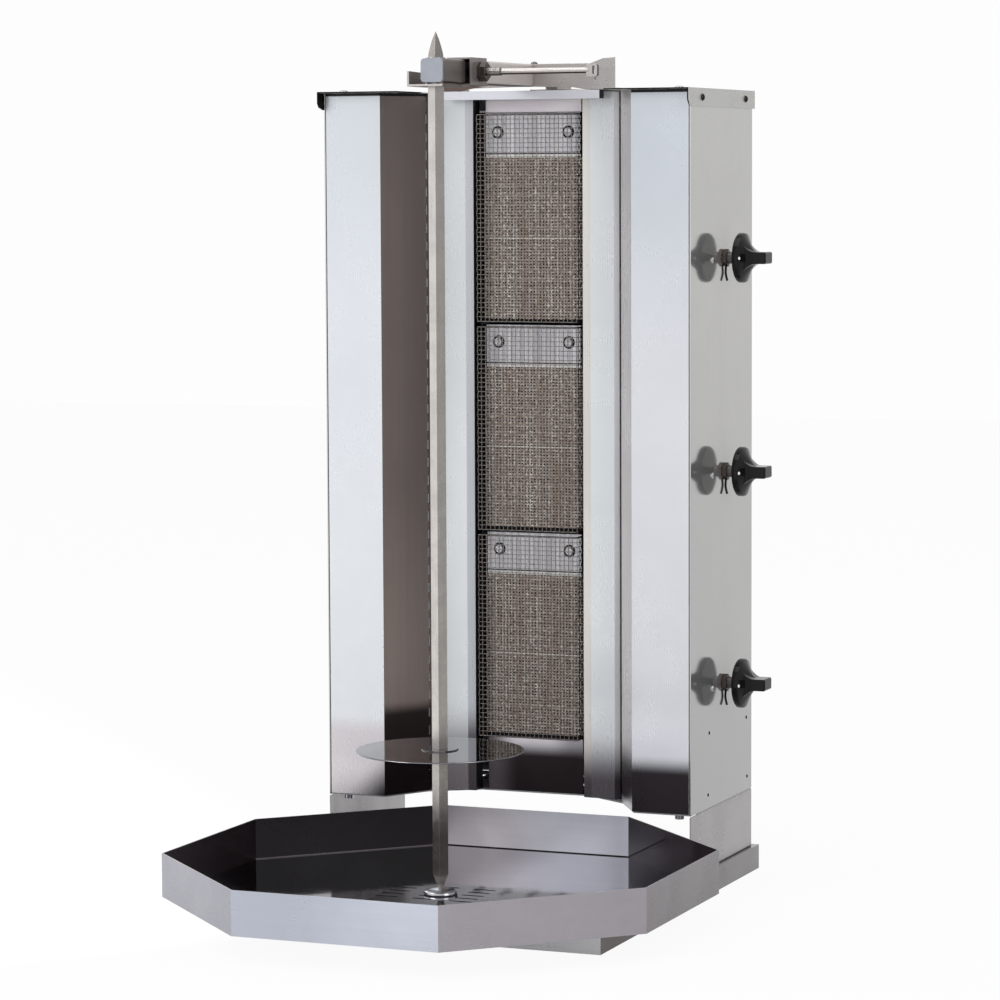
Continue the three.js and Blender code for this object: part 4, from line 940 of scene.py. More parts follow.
# %% Cabinet sheets
CABINET_SHEETS = {
    "side_panel_left": "panel", "side_panel_right": "panel", "riser_left": "riser_left",
    "riser_right": "riser", "rear_cover": "back", "top_filler": "filler",
    "bottom_filler": "filler_low", "cabinet_floor": "cabinet"}
for node, finish in CABINET_SHEETS.items():
    dress(node, finish)
dress("base_plinth", "plinth", ("plinth_front", looks_forward))
print("cabinet sheets dressed:", len(CABINET_SHEETS) + 1)

# %% [markdown]
# The lid's front edge is cut back over the burners. There it ends in a bright folded rail, a lighter
# painted copy of the lid's steel, and beside it in short edges that lie in shadow; these are painted
# near black.

# %% Lid
RECESS_HALF = 85 * MM
CORNER_ROOM = 15 * MM
reflector_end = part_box("reflector_right")[1][0]


def recess_rail(middle, normal):
    return normal.y < -0.3 and abs(middle.x) < RECESS_HALF


def front_edge(middle, normal):
    return normal.y < -0.3 and abs(middle.x) > RECESS_HALF


def recess_side(middle, normal):
    return abs(normal.x) > 0.5 and RECESS_HALF < abs(middle.x) < reflector_end + CORNER_ROOM


def left_flange_inside(middle, normal):
    return normal.x > 0.5 and middle.x < -reflector_end


dress("lid", "lid", ("lid_recess", recess_rail), ("rivet_black_and_painted_shadow", front_edge), ("rivet_black_and_painted_shadow", recess_side),
      ("rivet_black_and_painted_shadow", left_flange_inside), fold=0.15 * MM)


# %% [markdown]
# ## Drip tray
# The tray has eight folded walls round a mirror floor. Inside and outside are told apart by whether
# the face looks towards the middle of the tray. Each wall then takes its own copy of the tray's steel,
# painted lighter or darker for the reflection it shows, and the walls of the drain slits are painted
# near black for the shade in them.

# %% Tray
SLIT_FIELD = 90 * MM
RIM_DEPTH = 5 * MM
tray_low, tray_high = (Vector(corner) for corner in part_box("drip_tray"))
tray_middle = (tray_low + tray_high) / 2


def tray_face(inside, toward_x, toward_y):
    """A test for the wall that faces a compass direction: each of -1, 0 and 1 along X and Y."""
    def test(middle, normal):
        if abs(normal.z) > 0.5:
            return False
        looks_in = (middle - tray_middle).dot(normal) < 0
        signs = tuple(0 if abs(n) < 0.35 else int(math.copysign(1, n)) for n in (normal.x, normal.y))
        return looks_in == inside and signs == (toward_x, toward_y)
    return test


def tray_slit(middle, normal):
    """The walls of the narrow drain slits round the cup."""
    near_cup = (middle - tray_middle).xy.length < SLIT_FIELD and middle.z < TRAY_FLOOR
    return near_cup and abs(normal.z) < 0.5


def tray_floor_face(middle, normal):
    return normal.z > 0.9 and middle.z < tray_high.z - RIM_DEPTH


dress(
    "drip_tray", "tray_rim",
    ("tray_floor", tray_floor_face),
    ("tray_back", tray_face(True, 0, -1)),
    ("tray_back_left", tray_face(True, 1, -1)),
    ("tray_back_right", tray_face(True, -1, -1)),
    ("tray_dark", tray_face(True, -1, 0)),
    ("tray_dark", tray_face(True, 1, 0)),
    ("tray_front", tray_face(False, 0, -1)),
    ("tray_left", tray_face(False, -1, -1)),
    ("tray_front_right", tray_face(False, 1, -1)),
    ("tray_side", tray_face(False, 1, 0)),
    ("tray_side", tray_face(False, -1, 0)),
    ("dark_pin_and_slot_shade", tray_slit),
    fold=0.5 * MM)
print("tray in mm:", [round(v / MM, 1) for v in tray_high - tray_low])

# %% [markdown]
# The spit and its cup take one finish each. The disc's outer rim is bright, where its edge is cut, and
# the low ring round the spit is not. The clip takes the dark nut finish, which also stands for the shade
# round the spit on the disc.

# %% Spit, cup and disc
DISC_RING = 50 * MM


def disc_rim(middle, normal):
    return abs(normal.z) < 0.5 and middle.xy.length > DISC_RING


dress("spit", "spit", fold=0.5 * MM)
dress("spit_cup", "chrome", fold=0.3 * MM)
dress("gyros_disc", "disc", ("chrome", disc_rim), fold=0.3 * MM)
dress("disc_clip", "nut", fold=0.1 * MM, sharp=math.radians(50))


# %% [markdown]
# ## Arm and clamp
# A square tube with a painted end cap reaches forward over the spit. It is held by a folded bracket
# with a clamping screw, and rests on a folded crossbar that stands on the lid. The bracket carries its
# nut at the right end, so a face's place tells the two apart. Faces that look down or to the right take
# darker copies of the steel, painted shade.

# %% Arm
NUT_START = 20 * MM


def looks_right(middle, normal):
    return normal.x > 0.5


def looks_down(middle, normal):
    return normal.z < -0.6


def on_nut(middle, normal):
    return middle.x > NUT_START


def under_nut(middle, normal):
    return middle.x > NUT_START and normal.z < -0.3


dress("arm_head_tube", "arm_top", ("arm_shaded_side", looks_right), ("arm_underside_shade", looks_down), fold=0.6 * MM)
dress("arm_end_cap", "cap", fold=0.5 * MM)
dress("head_pull", "arm_sheet", ("arm_shaded_side", looks_right), ("arm_underside_shade", looks_down), fold=0.25 * MM)
dress("clamp_bracket", "arm_web", ("arm_underside_shade", looks_down), ("nut", on_nut), ("arm_underside_shade", under_nut),
      fold=0.4 * MM)
dress("arm_bar", "arm_sheet", fold=0.4 * MM)
dress("arm_crossbar", "crossbar", ("arm_shaded_side", looks_right), ("arm_underside_shade", looks_down), fold=0.4 * MM)
tube_low, tube_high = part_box("arm_head_tube")
print("arm tube length in mm:", round((tube_high[1] - tube_low[1]) / MM))

# %% [markdown]
# A small strip lies behind the notch in the crossbar's raised end. It is a plain box, and the same
# helper makes the gaskets between the tiles further on.

# %% Strip behind the crossbar
def small_block(name, low, high, finish, rounding=0.0):
    """A box between two corners, with rounded edges where rounding is more than nothing."""
    box = bmesh.new()
    bmesh.ops.create_cube(box, size=1)
    bmesh.ops.scale(box, vec=high - low, verts=box.verts)
    bmesh.ops.translate(box, vec=(low + high) / 2, verts=box.verts)
    if rounding:
        bmesh.ops.bevel(box, geom=box.edges[:], offset=rounding, segments=3, profile=0.5, affect="EDGES")
    mesh = bpy.data.meshes.new(name)
    box.to_mesh(mesh)
    box.free()
    if rounding:
        mesh.shade_smooth()
    mesh.materials.append(finishes[finish])
    return link_piece(name, mesh)


backing_low = Vector((83 * MM, 246.8 * MM, 893 * MM))
backing_high = Vector((91 * MM, 247.6 * MM, 903 * MM))
backing = small_block("crossbar_backing", backing_low, backing_high, "crossbar")
settle(backing, body_of["arm_crossbar"], slot_of["arm_crossbar"])
print("backing strip in mm:", [round(v / MM, 1) for v in backing_high - backing_low])

# %% [markdown]
# The clamping screw's long bar is painted bright above and dark below and on its right: a painted
# highlight and painted shade. The bush at the spit's top and the pivots of the shields are bright
# turned pins.

# %% Clamping screw, bush and pivots
def bar_top(middle, normal):
    return normal.z > 0.35


def bar_underside(middle, normal):
    return normal.z < -0.35


dress("clamp_screw", "clamp", ("clamp_lit_top", bar_top), ("clamp_shaded_side", bar_underside),
      ("clamp_shaded_side", looks_right), fold=0.25 * MM)
dress("spit_bush", "chrome", fold=0.25 * MM)
for word in ("left", "right"):
    dress(f"shield_pivot_{word}", "chrome", fold=0.2 * MM)


# %% [markdown]
# ## Burners, taps and knobs
# These solids keep their shapes. The knobs, taps and pipes have round stretches, so a wider angle limit
# lets their facets shade as one smooth curve while the rims stay crisp.

# %% Burners, taps and knobs
ROUND_SHARP = math.radians(38)
for level in LEVELS:
    dress(f"burner_header_{level}", f"header_{level}", fold=0.2 * MM)
    dress(f"knob_{level}", "knob", fold=0.5 * MM, sharp=ROUND_SHARP)
    dress(f"knob_nut_{level}", "nut", fold=0.3 * MM)
    dress(f"gas_tap_{level}", "dark", fold=0.2 * MM, sharp=ROUND_SHARP)
    dress(f"mixing_tube_{level}", "dark", fold=0.2 * MM, sharp=ROUND_SHARP)
    dress(f"burner_body_{level}", "iron", fold=0.3 * MM)
    for half in "ab":
        dress(f"tile_{level}_{half}", "ceramic", fold=0.3 * MM)
dress("gas_manifold", "dark", fold=0.2 * MM, sharp=ROUND_SHARP)
dress("gas_inlet", "brass", fold=0.2 * MM, sharp=ROUND_SHARP)


# %% [markdown]
# ## Woven guards
# A guard is one strip of woven wire bent into a shallow box over the burner. Every wire passes in turn
# over and under the wires that cross it, so it is a wave, and its neighbour is the same wave half a
# turn later. Geometry Nodes fits this well: the script only draws the bent path in plan, and the tree
# repeats it up the height, stands upright wires along it, and shifts each row's and column's wave.

# %% Geometry Nodes helpers
def geometry_tree(name, inputs):
    """A Geometry Nodes group with named inputs, its input node and a builder for its nodes."""
    tree = bpy.data.node_groups.new(name, "GeometryNodeTree")
    tree.interface.new_socket("Geometry", in_out="INPUT", socket_type="NodeSocketGeometry")
    kinds = {"size": "NodeSocketFloat", "count": "NodeSocketInt", "material": "NodeSocketMaterial"}
    for label, kind in inputs:
        tree.interface.new_socket(label, in_out="INPUT", socket_type=kinds[kind])
    tree.interface.new_socket("Geometry", in_out="OUTPUT", socket_type="NodeSocketGeometry")
    return tree, tree.nodes.new("NodeGroupInput").outputs


def add(tree, kind, properties=None, **values):
    """Adds a node, sets its properties, plugs or sets its inputs by name and returns its first output.
    A geometry node goes by its short name, such as MeshLine."""
    node = tree.nodes.new(kind if "Node" in kind else "GeometryNode" + kind)
    for label, value in (properties or {}).items():
        setattr(node, label, value)
    for label, value in values.items():
        wanted = label.replace("_", " ")
        socket = next(s for s in node.inputs if s.name == wanted and s.enabled)
        put(tree, socket, value)
    return node.outputs[0]


def vector_scale(tree, vector, factor):
    return add(tree, "ShaderNodeVectorMath", {"operation": "SCALE"}, Vector=vector, Scale=factor)


def finish_tree(tree, geometry, material):
    """The usual end of a tree: real geometry with smooth faces and a finish."""
    real = add(tree, "RealizeInstances", Geometry=geometry)
    smooth = add(tree, "SetShadeSmooth", Geometry=real)
    painted = add(tree, "SetMaterial", Geometry=smooth, Material=material)
    tree.links.new(painted, tree.nodes.new("NodeGroupOutput").inputs[0])


def store(tree, geometry, name, value, kind="INT"):
    """Stores a value under a name on every point."""
    return add(tree, "StoreNamedAttribute", {"data_type": kind, "domain": "POINT"},
               Geometry=geometry, Name=name, Value=value)


def stored(tree, name, kind="INT"):
    return add(tree, "InputNamedAttribute", {"data_type": kind}, Name=name)


def grown(name, mesh, tree, values):
    """Runs a tree on a mesh and returns the result as a plain object."""
    piece = link_piece(name, mesh)
    modifier = piece.modifiers.new("growth", "NODES")
    modifier.node_group = tree
    inputs = (item for item in tree.interface.items_tree if item.in_out == "INPUT")
    identifiers = {item.name: item.identifier for item in inputs}
    for label, value in values.items():
        modifier[identifiers[label]] = value
    return applied(piece)


print("geometry helpers ready")


# %% [markdown]
# In the tree, a wave along a wire is a cosine of its place counted in meshes. Rows and columns carry
# their number as an attribute, which turns the wave over from one to the next. The outward direction
# of the bent path is its tangent turned a quarter round the upright axis.

# %% Woven guard tree
weave, weave_in = geometry_tree("woven_guard", [
    ("Columns", "count"), ("Rows", "count"), ("Height", "size"), ("Wire Radius", "size"),
    ("Rail Radius", "size"), ("Wire Finish", "material"), ("Rail Finish", "material")])
WAVE_POINTS = 4


def weave_maths(operation, a, b=None):
    return maths(weave, operation, a, b)


def wave_offset(tree, count, number, sign):
    """How far a wire stands proud: a cosine over the meshes, turned over for odd numbers."""
    along = add(tree, "SplineParameter")
    turns = weave_maths("ADD", weave_maths("MULTIPLY", along, count), number)
    wave = weave_maths("COSINE", weave_maths("MULTIPLY", turns, math.pi))
    return weave_maths("MULTIPLY", weave_maths("MULTIPLY", wave, weave_in["Wire Radius"]), sign)


def wire(tree, curves, radius, sides=5):
    profile = add(tree, "CurvePrimitiveCircle", Resolution=sides, Radius=radius)
    return add(tree, "CurveToMesh", Curve=curves, Profile_Curve=profile, Fill_Caps=True)


path = add(weave, "MeshToCurve", Mesh=weave_in["Geometry"])
tangent = add(weave, "InputTangent")
outward = add(weave, "ShaderNodeVectorMath", {"operation": "CROSS_PRODUCT"})
weave.links.new(tangent, outward.node.inputs[0])
outward.node.inputs[1].default_value = (0, 0, 1)
row_step = weave_maths("DIVIDE", weave_in["Height"], weave_in["Rows"])
row_move = add(weave, "ShaderNodeCombineXYZ", Z=row_step)
number = add(weave, "InputIndex")

# Level wires: the whole path, once for each row.
level_points = weave_maths("ADD", weave_maths("MULTIPLY", weave_in["Columns"], WAVE_POINTS), 1)
level_path = add(weave, "ResampleCurve", Curve=path, Count=level_points)
row_count = weave_maths("ADD", weave_in["Rows"], 1)
rows = add(weave, "MeshLine", {"mode": "OFFSET"}, Count=row_count, Offset=row_move)
rows = store(weave, rows, "wire_number", number)
levels = add(weave, "InstanceOnPoints", Points=rows, Instance=level_path)
levels = add(weave, "RealizeInstances", Geometry=levels)
wire_number = stored(weave, "wire_number")
level_push = vector_scale(weave, outward, wave_offset(weave, weave_in["Columns"], wire_number, 1.0))
levels = add(weave, "SetPosition", Geometry=levels, Offset=level_push)

# Upright wires: a straight line at each column, pushed along the direction stored on the path.
column_points = weave_maths("ADD", weave_in["Columns"], 1)
columns = add(weave, "ResampleCurve", Curve=path, Count=column_points)
columns = store(weave, columns, "wire_number", number)
columns = store(weave, columns, "outward", outward, "FLOAT_VECTOR")
upright_end = add(weave, "ShaderNodeCombineXYZ", Z=weave_in["Height"])
upright = add(weave, "CurvePrimitiveLine", {"mode": "POINTS"}, End=upright_end)
upright_points = weave_maths("ADD", weave_maths("MULTIPLY", weave_in["Rows"], WAVE_POINTS), 1)
upright = add(weave, "ResampleCurve", Curve=upright, Count=upright_points)
uprights = add(weave, "InstanceOnPoints", Points=columns, Instance=upright)
uprights = add(weave, "RealizeInstances", Geometry=uprights)
stored_outward = stored(weave, "outward", "FLOAT_VECTOR")
upright_push = vector_scale(weave, stored_outward, wave_offset(weave, weave_in["Rows"], wire_number, -1.0))
uprights = add(weave, "SetPosition", Geometry=uprights, Offset=upright_push)

# Binding rails along both ends, in their own darker finish.
inset = weave_maths("MULTIPLY", weave_maths("ADD", weave_in["Rail Radius"], weave_in["Wire Radius"]), -1.0)
rail_path = add(weave, "ResampleCurve", Curve=path, Count=level_points)
rail_inset = vector_scale(weave, outward, inset)
rail_path = add(weave, "SetPosition", Geometry=rail_path, Offset=rail_inset)
rail = wire(weave, rail_path, weave_in["Rail Radius"], 8)
rail_up = add(weave, "Transform", Geometry=rail, Translation=upright_end)
rails = weave.nodes.new("GeometryNodeJoinGeometry")
wires = weave.nodes.new("GeometryNodeJoinGeometry")
link_nodes(weave, [
    (rail, rails.inputs[0]),
    (rail_up, rails.inputs[0]),
    (wire(weave, levels, weave_in["Wire Radius"]), wires.inputs[0]),
    (wire(weave, uprights, weave_in["Wire Radius"]), wires.inputs[0]),
])
rails_painted = add(weave, "SetMaterial", Geometry=rails.outputs[0], Material=weave_in["Rail Finish"])
wires_painted = add(weave, "SetMaterial", Geometry=wires.outputs[0], Material=weave_in["Wire Finish"])
guard_parts = weave.nodes.new("GeometryNodeJoinGeometry")
link_nodes(weave, [(rails_painted, guard_parts.inputs[0]), (wires_painted, guard_parts.inputs[0])])
guard_real = add(weave, "RealizeInstances", Geometry=guard_parts.outputs[0])
guard_smooth = add(weave, "SetShadeSmooth", Geometry=guard_real)
weave.links.new(guard_smooth, weave.nodes.new("NodeGroupOutput").inputs[0])
print("woven guard tree:", len(weave.nodes), "nodes")

# %% [markdown]
# The bent path runs from the back on the left, across the front and to the back on the right. The
# number of meshes comes from its length, so that whole meshes fit.

# %% Grow the three guards
MESH_PITCH = 5.2 * MM
WIRE_RADIUS = 0.42 * MM
RAIL_RADIUS = 1.0 * MM
GUARD_CORNER = 3.0 * MM
CORNER_STEPS = 4


def guard_path(low, high):
    """The guard's plan: back to front on the left, across, and back again, with round corners."""
    left, right = low.x + RAIL_RADIUS, high.x - RAIL_RADIUS
    front, back = low.y + RAIL_RADIUS, high.y - RAIL_RADIUS
    points = [(left, back)]
    for middle_x, start in ((left + GUARD_CORNER, math.pi), (right - GUARD_CORNER, 1.5 * math.pi)):
        for step in range(CORNER_STEPS + 1):
            angle = start + step * math.pi / 2 / CORNER_STEPS
            points.append((middle_x + GUARD_CORNER * math.cos(angle),
                           front + GUARD_CORNER + GUARD_CORNER * math.sin(angle)))
    points.append((right, back))
    return points


for level in LEVELS:
    low, high = (Vector(corner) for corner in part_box(f"burner_guard_{level}"))
    plan = guard_path(low, high)
    foot = low.z + RAIL_RADIUS
    path_mesh = bpy.data.meshes.new(f"guard_path_{level}")
    path_mesh.from_pydata([(x, y, foot) for x, y in plan], [(i, i + 1) for i in range(len(plan) - 1)], [])
    path_length = sum(math.dist(a, b) for a, b in zip(plan, plan[1:]))
    height = high.z - low.z - 2 * RAIL_RADIUS
    guard = grown(f"woven_guard_{level}", path_mesh, weave, {
        "Columns": round(path_length / MESH_PITCH), "Rows": round(height / MESH_PITCH), "Height": height,
        "Wire Radius": WIRE_RADIUS, "Rail Radius": RAIL_RADIUS,
        "Wire Finish": finishes["wire"], "Rail Finish": finishes["wire_edge"]})
    settle(guard, "cabinet", "wire_steel", f"burner_guard_{level}")
    print(guard.name, len(guard.data.polygons), "faces")


# %% [markdown]
# ## Screws, rivets and dots
# Small fasteners repeat all over a sheet metal cabinet. One tree makes a cross-head screw: a
# chamfered round head with two slots cut out of it. Another makes a low dome, used for rivets, round
# screw heads, the painted shadow rings under the header screws, a bolt and the white dot on each knob.
# Each point carries the direction in which its head looks.

# %% Screw tree
def on_points(tree, geometry_in, head):
    facing = stored(tree, "facing", "FLOAT_VECTOR")
    aim = add(tree, "FunctionNodeAlignRotationToVector", {"axis": "Z"}, Vector=facing)
    return add(tree, "InstanceOnPoints", Points=geometry_in, Instance=head, Rotation=aim)


screws, screws_in = geometry_tree("cross_head_screws", [
    ("Radius", "size"), ("Height", "size"), ("Slot", "size"), ("Finish", "material")])
rim_radius = maths(screws, "MULTIPLY", screws_in["Radius"], 0.72)
screw_head = add(screws, "MeshCone", Vertices=20, Radius_Top=rim_radius,
                 Radius_Bottom=screws_in["Radius"], Depth=screws_in["Height"])
slot_length = maths(screws, "MULTIPLY", screws_in["Radius"], 1.2)
slot_width = screws_in["Slot"]
slot_sizes = [add(screws, "ShaderNodeCombineXYZ", X=x, Y=y, Z=screws_in["Height"])
              for x, y in ((slot_length, slot_width), (slot_width, slot_length))]
slot_place = add(screws, "ShaderNodeCombineXYZ", Z=screws_in["Height"])
cross = screws.nodes.new("GeometryNodeMeshBoolean")
cross.operation = "DIFFERENCE"
cross.solver = "EXACT"
screws.links.new(screw_head, cross.inputs[0])
for slot_size in slot_sizes:
    block = add(screws, "MeshCube", Size=slot_size)
    block = add(screws, "Transform", Geometry=block, Translation=slot_place)
    screws.links.new(block, cross.inputs[1])
screw_set = on_points(screws, screws_in["Geometry"], cross.outputs[0])
screw_real = add(screws, "RealizeInstances", Geometry=screw_set)
screw_painted = add(screws, "SetMaterial", Geometry=screw_real, Material=screws_in["Finish"])
screws.links.new(screw_painted, screws.nodes.new("NodeGroupOutput").inputs[0])
print("screw tree:", len(screws.nodes), "nodes")

# %% [markdown]
# A dome is a ball squeezed to its radius and height, and half of it is sunk in the sheet.

# %% Dome tree
domes, domes_in = geometry_tree("low_domes", [
    ("Radius", "size"), ("Height", "size"), ("Finish", "material")])
ball = add(domes, "MeshUVSphere", Segments=20, Rings=10, Radius=1.0)
dome_size = add(domes, "ShaderNodeCombineXYZ", X=domes_in["Radius"], Y=domes_in["Radius"],
                Z=domes_in["Height"])
dome = add(domes, "Transform", Geometry=ball, Scale=dome_size)
finish_tree(domes, on_points(domes, domes_in["Geometry"], dome), domes_in["Finish"])
print("dome tree:", len(domes.nodes), "nodes")

# %% [markdown]
# Both trees work on loose points. One helper makes such points, and another grows the heads on them
# and hands the piece over to the body that carries it.

# %% Helpers that place fasteners
def point_mesh(name, spots):
    """A mesh of single points, each with the direction in which its head looks."""
    mesh = bpy.data.meshes.new(name)
    mesh.from_pydata([place for place, _ in spots], [], [])
    facing = mesh.attributes.new("facing", "FLOAT_VECTOR", "POINT")
    for value, (_, direction) in zip(facing.data, spots):
        value.vector = direction
    return mesh


def fasten(name, spots, tree, body, slot_name, **values):
    values = {label.replace("_", " "): value for label, value in values.items()}
    piece = grown(name, point_mesh(name + "_points", spots), tree, values)
    print(name, len(spots), "heads,", len(piece.data.polygons), "faces")
    return settle(piece, body, slot_name)


print("fastener helpers ready")

# %% [markdown]
# The fasteners sit where such a cabinet needs them. Each header plate has two screws, each on a low near
# black dome that paints the ring of shadow round its head.

# %% Screws on the header plates
HEADER_SCREW_HALF = 42.3 * MM
HEADER_SCREW_RISE = 24 * MM
header_spots = []
for level in LEVELS:
    low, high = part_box(f"burner_header_{level}")
    for x in (-HEADER_SCREW_HALF, HEADER_SCREW_HALF):
        header_spots.append(((x, low[1], low[2] + HEADER_LIP + HEADER_SCREW_RISE), (0, -1, 0)))
fasten("header_screw_painted_shadows", header_spots, domes, "cabinet", "dark_steel",
       Radius=7.2 * MM, Height=0.5 * MM, Finish=finishes["rivet_black_and_painted_shadow"])
fasten("header_screws", header_spots, screws, "cabinet", "cabinet_steel",
       Radius=5.8 * MM, Height=2.2 * MM, Slot=1.6 * MM, Finish=finishes["chrome"])

# %% [markdown]
# On each side, two round-headed screws hold the lid and four rivets the panel. A small cross-head
# screw sits by each tap.

# %% Fasteners on the sides
LID_SCREW_PLACES = ((221.0, 876), (368.5, 876.4))
RIVET_PLACES = ((251, 178.5), (380, 178.5), (383, 110.5), (247, 110))
TAP_SCREW_BACK = 261.5 * MM
TAP_SCREW_DROP = 2 * MM
lid_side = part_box("lid")[1][0]
panel_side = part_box("side_panel_right")[1][0]
lid_spots = []
rivet_spots = []
tap_spots = []
for side in (-1, 1):
    for y, z in LID_SCREW_PLACES:
        lid_spots.append(((side * lid_side, y * MM, z * MM), (side, 0, 0)))
    for y, z in RIVET_PLACES:
        rivet_spots.append(((side * panel_side, y * MM, z * MM), (side, 0, 0)))
for level in LEVELS:
    low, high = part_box(f"knob_nut_{level}")
    tap_spots.append(((panel_side, TAP_SCREW_BACK, (low[2] + high[2]) / 2 - TAP_SCREW_DROP), (1, 0, 0)))
fasten("lid_screws", lid_spots, domes, "cabinet", "cabinet_steel",
       Radius=4.0 * MM, Height=3.0 * MM, Finish=finishes["lid_screw"])
fasten("panel_rivets", rivet_spots, domes, "cabinet", "cabinet_steel",
       Radius=2.0 * MM, Height=0.7 * MM, Finish=finishes["rivet_black_and_painted_shadow"])
fasten("tap_screws", tap_spots, screws, "cabinet", "cabinet_steel",
       Radius=3.2 * MM, Height=1.8 * MM, Slot=1.0 * MM, Finish=finishes["chrome"])

# %% [markdown]
# Two screws hold each foot of the crossbar to the lid. The bolt in its middle sits wherever a ray
# from above meets the folded sheet.

# %% Fasteners on the crossbar
FOOT_SHEET = 1.6 * MM
FOOT_SCREWS_SIDEWAYS = (79 * MM, 94 * MM)
FOOT_SCREWS_BACK = 259 * MM
foot_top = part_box("lid")[1][2] + FOOT_SHEET
foot_spots = [((side * x, FOOT_SCREWS_BACK, foot_top), (0, 0, 1))
              for side in (-1, 1) for x in FOOT_SCREWS_SIDEWAYS]
fasten("foot_screws", foot_spots, screws, "cabinet", "cabinet_steel",
       Radius=3.0 * MM, Height=1.8 * MM, Slot=1.0 * MM, Finish=finishes["dark"])


def solid_surface(node):
    """A solid's faces in a form that rays can be sent against."""
    solid = nodes[node].data
    return BVHTree.FromPolygons([v.co for v in solid.vertices], [f.vertices for f in solid.polygons])


above_bolt = Vector((12 * MM, 250 * MM, 1.0))
bolt_place, _, _, _ = solid_surface("arm_crossbar").ray_cast(above_bolt, Vector((0, 0, -1)))
fasten("arm_bolt", [(tuple(bolt_place), (0, 0, 1))], domes, "cabinet", "cabinet_steel",
       Radius=4.0 * MM, Height=2.8 * MM, Finish=finishes["dark"])

# %% [markdown]
# Each knob has a white dot on its flare that shows where it stands. A ray sent towards the knob from
# the side finds the flare's surface and its slope, so the dot lies on it whatever the flare's curve.

# %% Dots on the knobs
DOT_REACH = 0.90
for level in LEVELS:
    low, high = (Vector(corner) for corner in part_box(f"knob_{level}"))
    middle = (low + high) / 2
    radius = (high.z - low.z) / 2
    start = Vector((high.x + radius, middle.y - DOT_REACH * radius, middle.z))
    place, slope, _, _ = solid_surface(f"knob_{level}").ray_cast(start, Vector((-1, 0, 0)))
    fasten(f"knob_dot_{level}", [(tuple(place), tuple(slope))], domes, f"knob_{level}", "black_plastic",
           Radius=1.8 * MM, Height=0.5 * MM, Finish=finishes["white_dot"])


# %% [markdown]
# ## Thread and pins
# The clamping screw is threaded where it passes through its nut. A thread is a helix with a sharp
# ridge, so the Spiral curve node makes it directly, with a small square swept along it.

# %% Thread
thread, thread_in = geometry_tree("thread_ridge", [
    ("Radius", "size"), ("Length", "size"), ("Turns", "size"), ("Depth", "size"), ("Finish", "material")])
helix = add(thread, "CurveSpiral", Resolution=16, Rotations=thread_in["Turns"],
            Start_Radius=thread_in["Radius"], End_Radius=thread_in["Radius"],
            Height=thread_in["Length"])
ridge = add(thread, "CurvePrimitiveCircle", Resolution=4, Radius=thread_in["Depth"])
ridge = add(thread, "CurveToMesh", Curve=helix, Profile_Curve=ridge, Fill_Caps=True)
along_x = add(thread, "Transform", Geometry=ridge, Rotation=(0.0, math.pi / 2, 0.0))
at_point = add(thread, "InstanceOnPoints", Points=thread_in["Geometry"], Instance=along_x)
finish_tree(thread, at_point, thread_in["Finish"])

THREAD_RADIUS = 4.0 * MM
THREAD_PITCH = 1.5 * MM
THREAD_DEPTH = 0.62 * MM
THREADED_PART = 34 * MM
screw_low, screw_high = (Vector(corner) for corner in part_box("clamp_screw"))
bracket_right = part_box("clamp_bracket")[1][0]
thread_start = Vector((bracket_right + 0.5 * MM, (screw_low.y + screw_high.y) / 2,
                       (screw_low.z + screw_high.z) / 2))
thread_length = screw_low.x + THREADED_PART - thread_start.x
thread_point = bpy.data.meshes.new("thread_point")
thread_point.from_pydata([tuple(thread_start)], [], [])
clamp_thread = grown("clamp_thread", thread_point, thread, {
    "Radius": THREAD_RADIUS, "Length": thread_length, "Turns": thread_length / THREAD_PITCH,
    "Depth": THREAD_DEPTH, "Finish": finishes["dark"]})
settle(clamp_thread, "clamp", "polished_steel")
print("thread length in mm:", round(thread_length / MM, 1))

# %% [markdown]
# A thin locking pin hangs from each tap's nut. It is one bent wire, so a bevelled curve makes it.

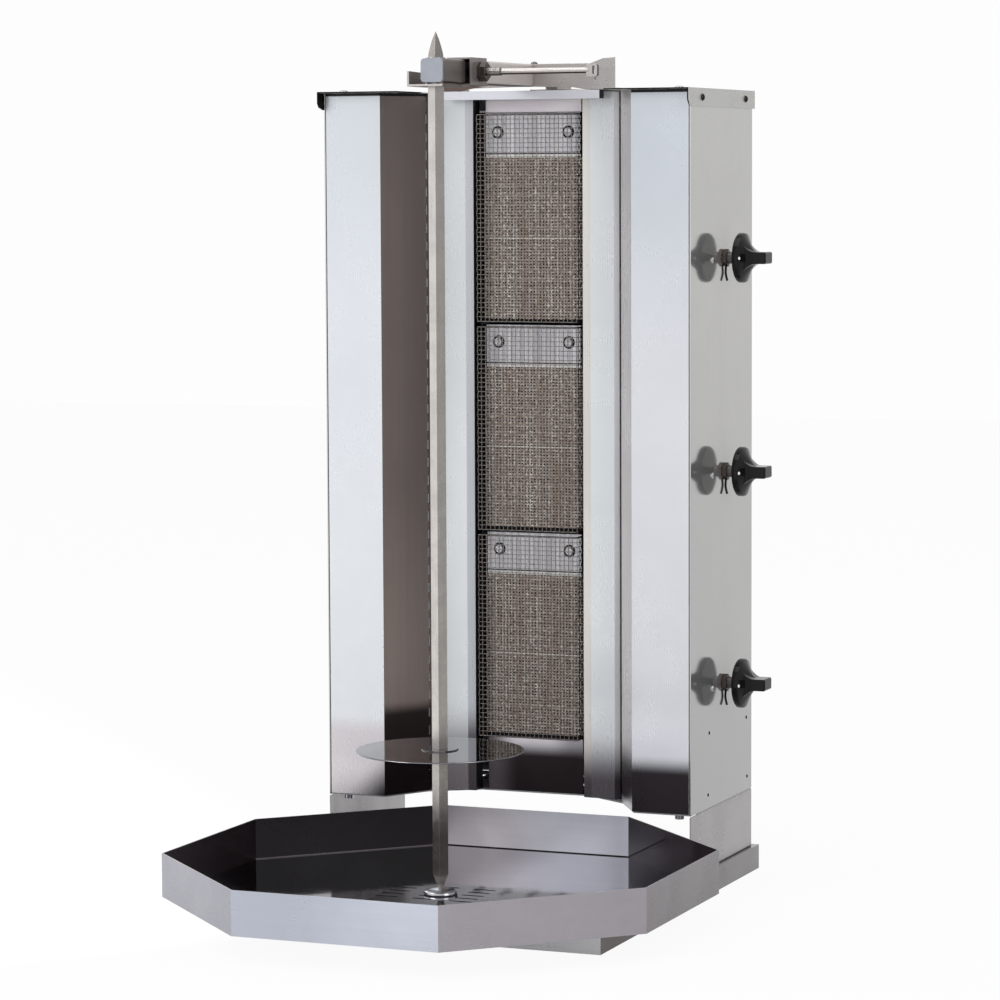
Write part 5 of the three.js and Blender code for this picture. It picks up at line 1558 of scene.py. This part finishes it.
# %% Pins under the taps
PIN_LENGTH = 17 * MM
PIN_RADIUS = 1.3 * MM
PIN_SINK = 1.5 * MM
PIN_BENDS = ((-0.6, 0), (-1.0, 0.5), (0.8, 1.0))
for level in LEVELS:
    low, high = (Vector(corner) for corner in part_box(f"knob_nut_{level}"))
    top = Vector(((low.x + high.x) / 2, (low.y + high.y) / 2, low.z + PIN_SINK))
    curve = bpy.data.curves.new(f"tap_pin_{level}", "CURVE")
    curve.dimensions = "3D"
    curve.bevel_depth = PIN_RADIUS
    curve.bevel_resolution = 2
    curve.use_fill_caps = True
    spline = curve.splines.new("BEZIER")
    spline.bezier_points.add(2)
    for knot, (lean, drop) in zip(spline.bezier_points, PIN_BENDS):
        knot.co = top + Vector((lean * MM, 0, -drop * PIN_LENGTH))
        knot.handle_left_type = knot.handle_right_type = "AUTO"
    curve.materials.append(finishes["dark_pin_and_slot_shade"])
    pin_curve = link_piece(f"tap_pin_{level}_curve", curve)
    bpy.context.view_layer.update()
    graph = bpy.context.evaluated_depsgraph_get()
    pin_mesh = bpy.data.meshes.new_from_object(pin_curve.evaluated_get(graph))
    bpy.data.objects.remove(pin_curve)
    settle(link_piece(f"tap_pin_{level}", pin_mesh), "cabinet", "dark_steel")
print("pins:", len(LEVELS))

# %% [markdown]
# Between the two tiles of a burner lies a pale strip of fibre gasket, which shows as a bright line.

# %% Gaskets between the tiles
GASKET_INSET = 1 * MM
GASKET_FRONT = 0.4 * MM
GASKET_BACK = 3 * MM
GASKET_OVERLAP = 0.05 * MM
for level in LEVELS:
    tile_a, tile_b = (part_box(f"tile_{level}_{half}") for half in "ab")
    left, right = tile_a[0][0] + GASKET_INSET, tile_a[1][0] - GASKET_INSET
    front, back = tile_a[0][1] + GASKET_FRONT, tile_a[0][1] + GASKET_BACK
    gasket_low = Vector((left, front, min(tile_a[1][2], tile_b[1][2]) + GASKET_OVERLAP))
    gasket_high = Vector((right, back, max(tile_a[0][2], tile_b[0][2]) - GASKET_OVERLAP))
    span = gasket_high - gasket_low
    gasket = small_block(f"tile_gasket_{level}", gasket_low, gasket_high, "gasket", min(span) * 0.4)
    settle(gasket, "cabinet", "ceramic")
    print(gasket.name, "thickness in mm:", round(span.z / MM, 2))


# %% [markdown]
# ## Check and finish
# The script lists any solid left without a dressed copy, and measures the box round everything that is
# shown. The dressed one may not grow.

# %% Sizes
dressed = {node for piece in bpy.data.objects for node in piece.get("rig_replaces", [])}
print("solids without a dressed copy:", sorted(set(nodes) - dressed))
low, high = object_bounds()
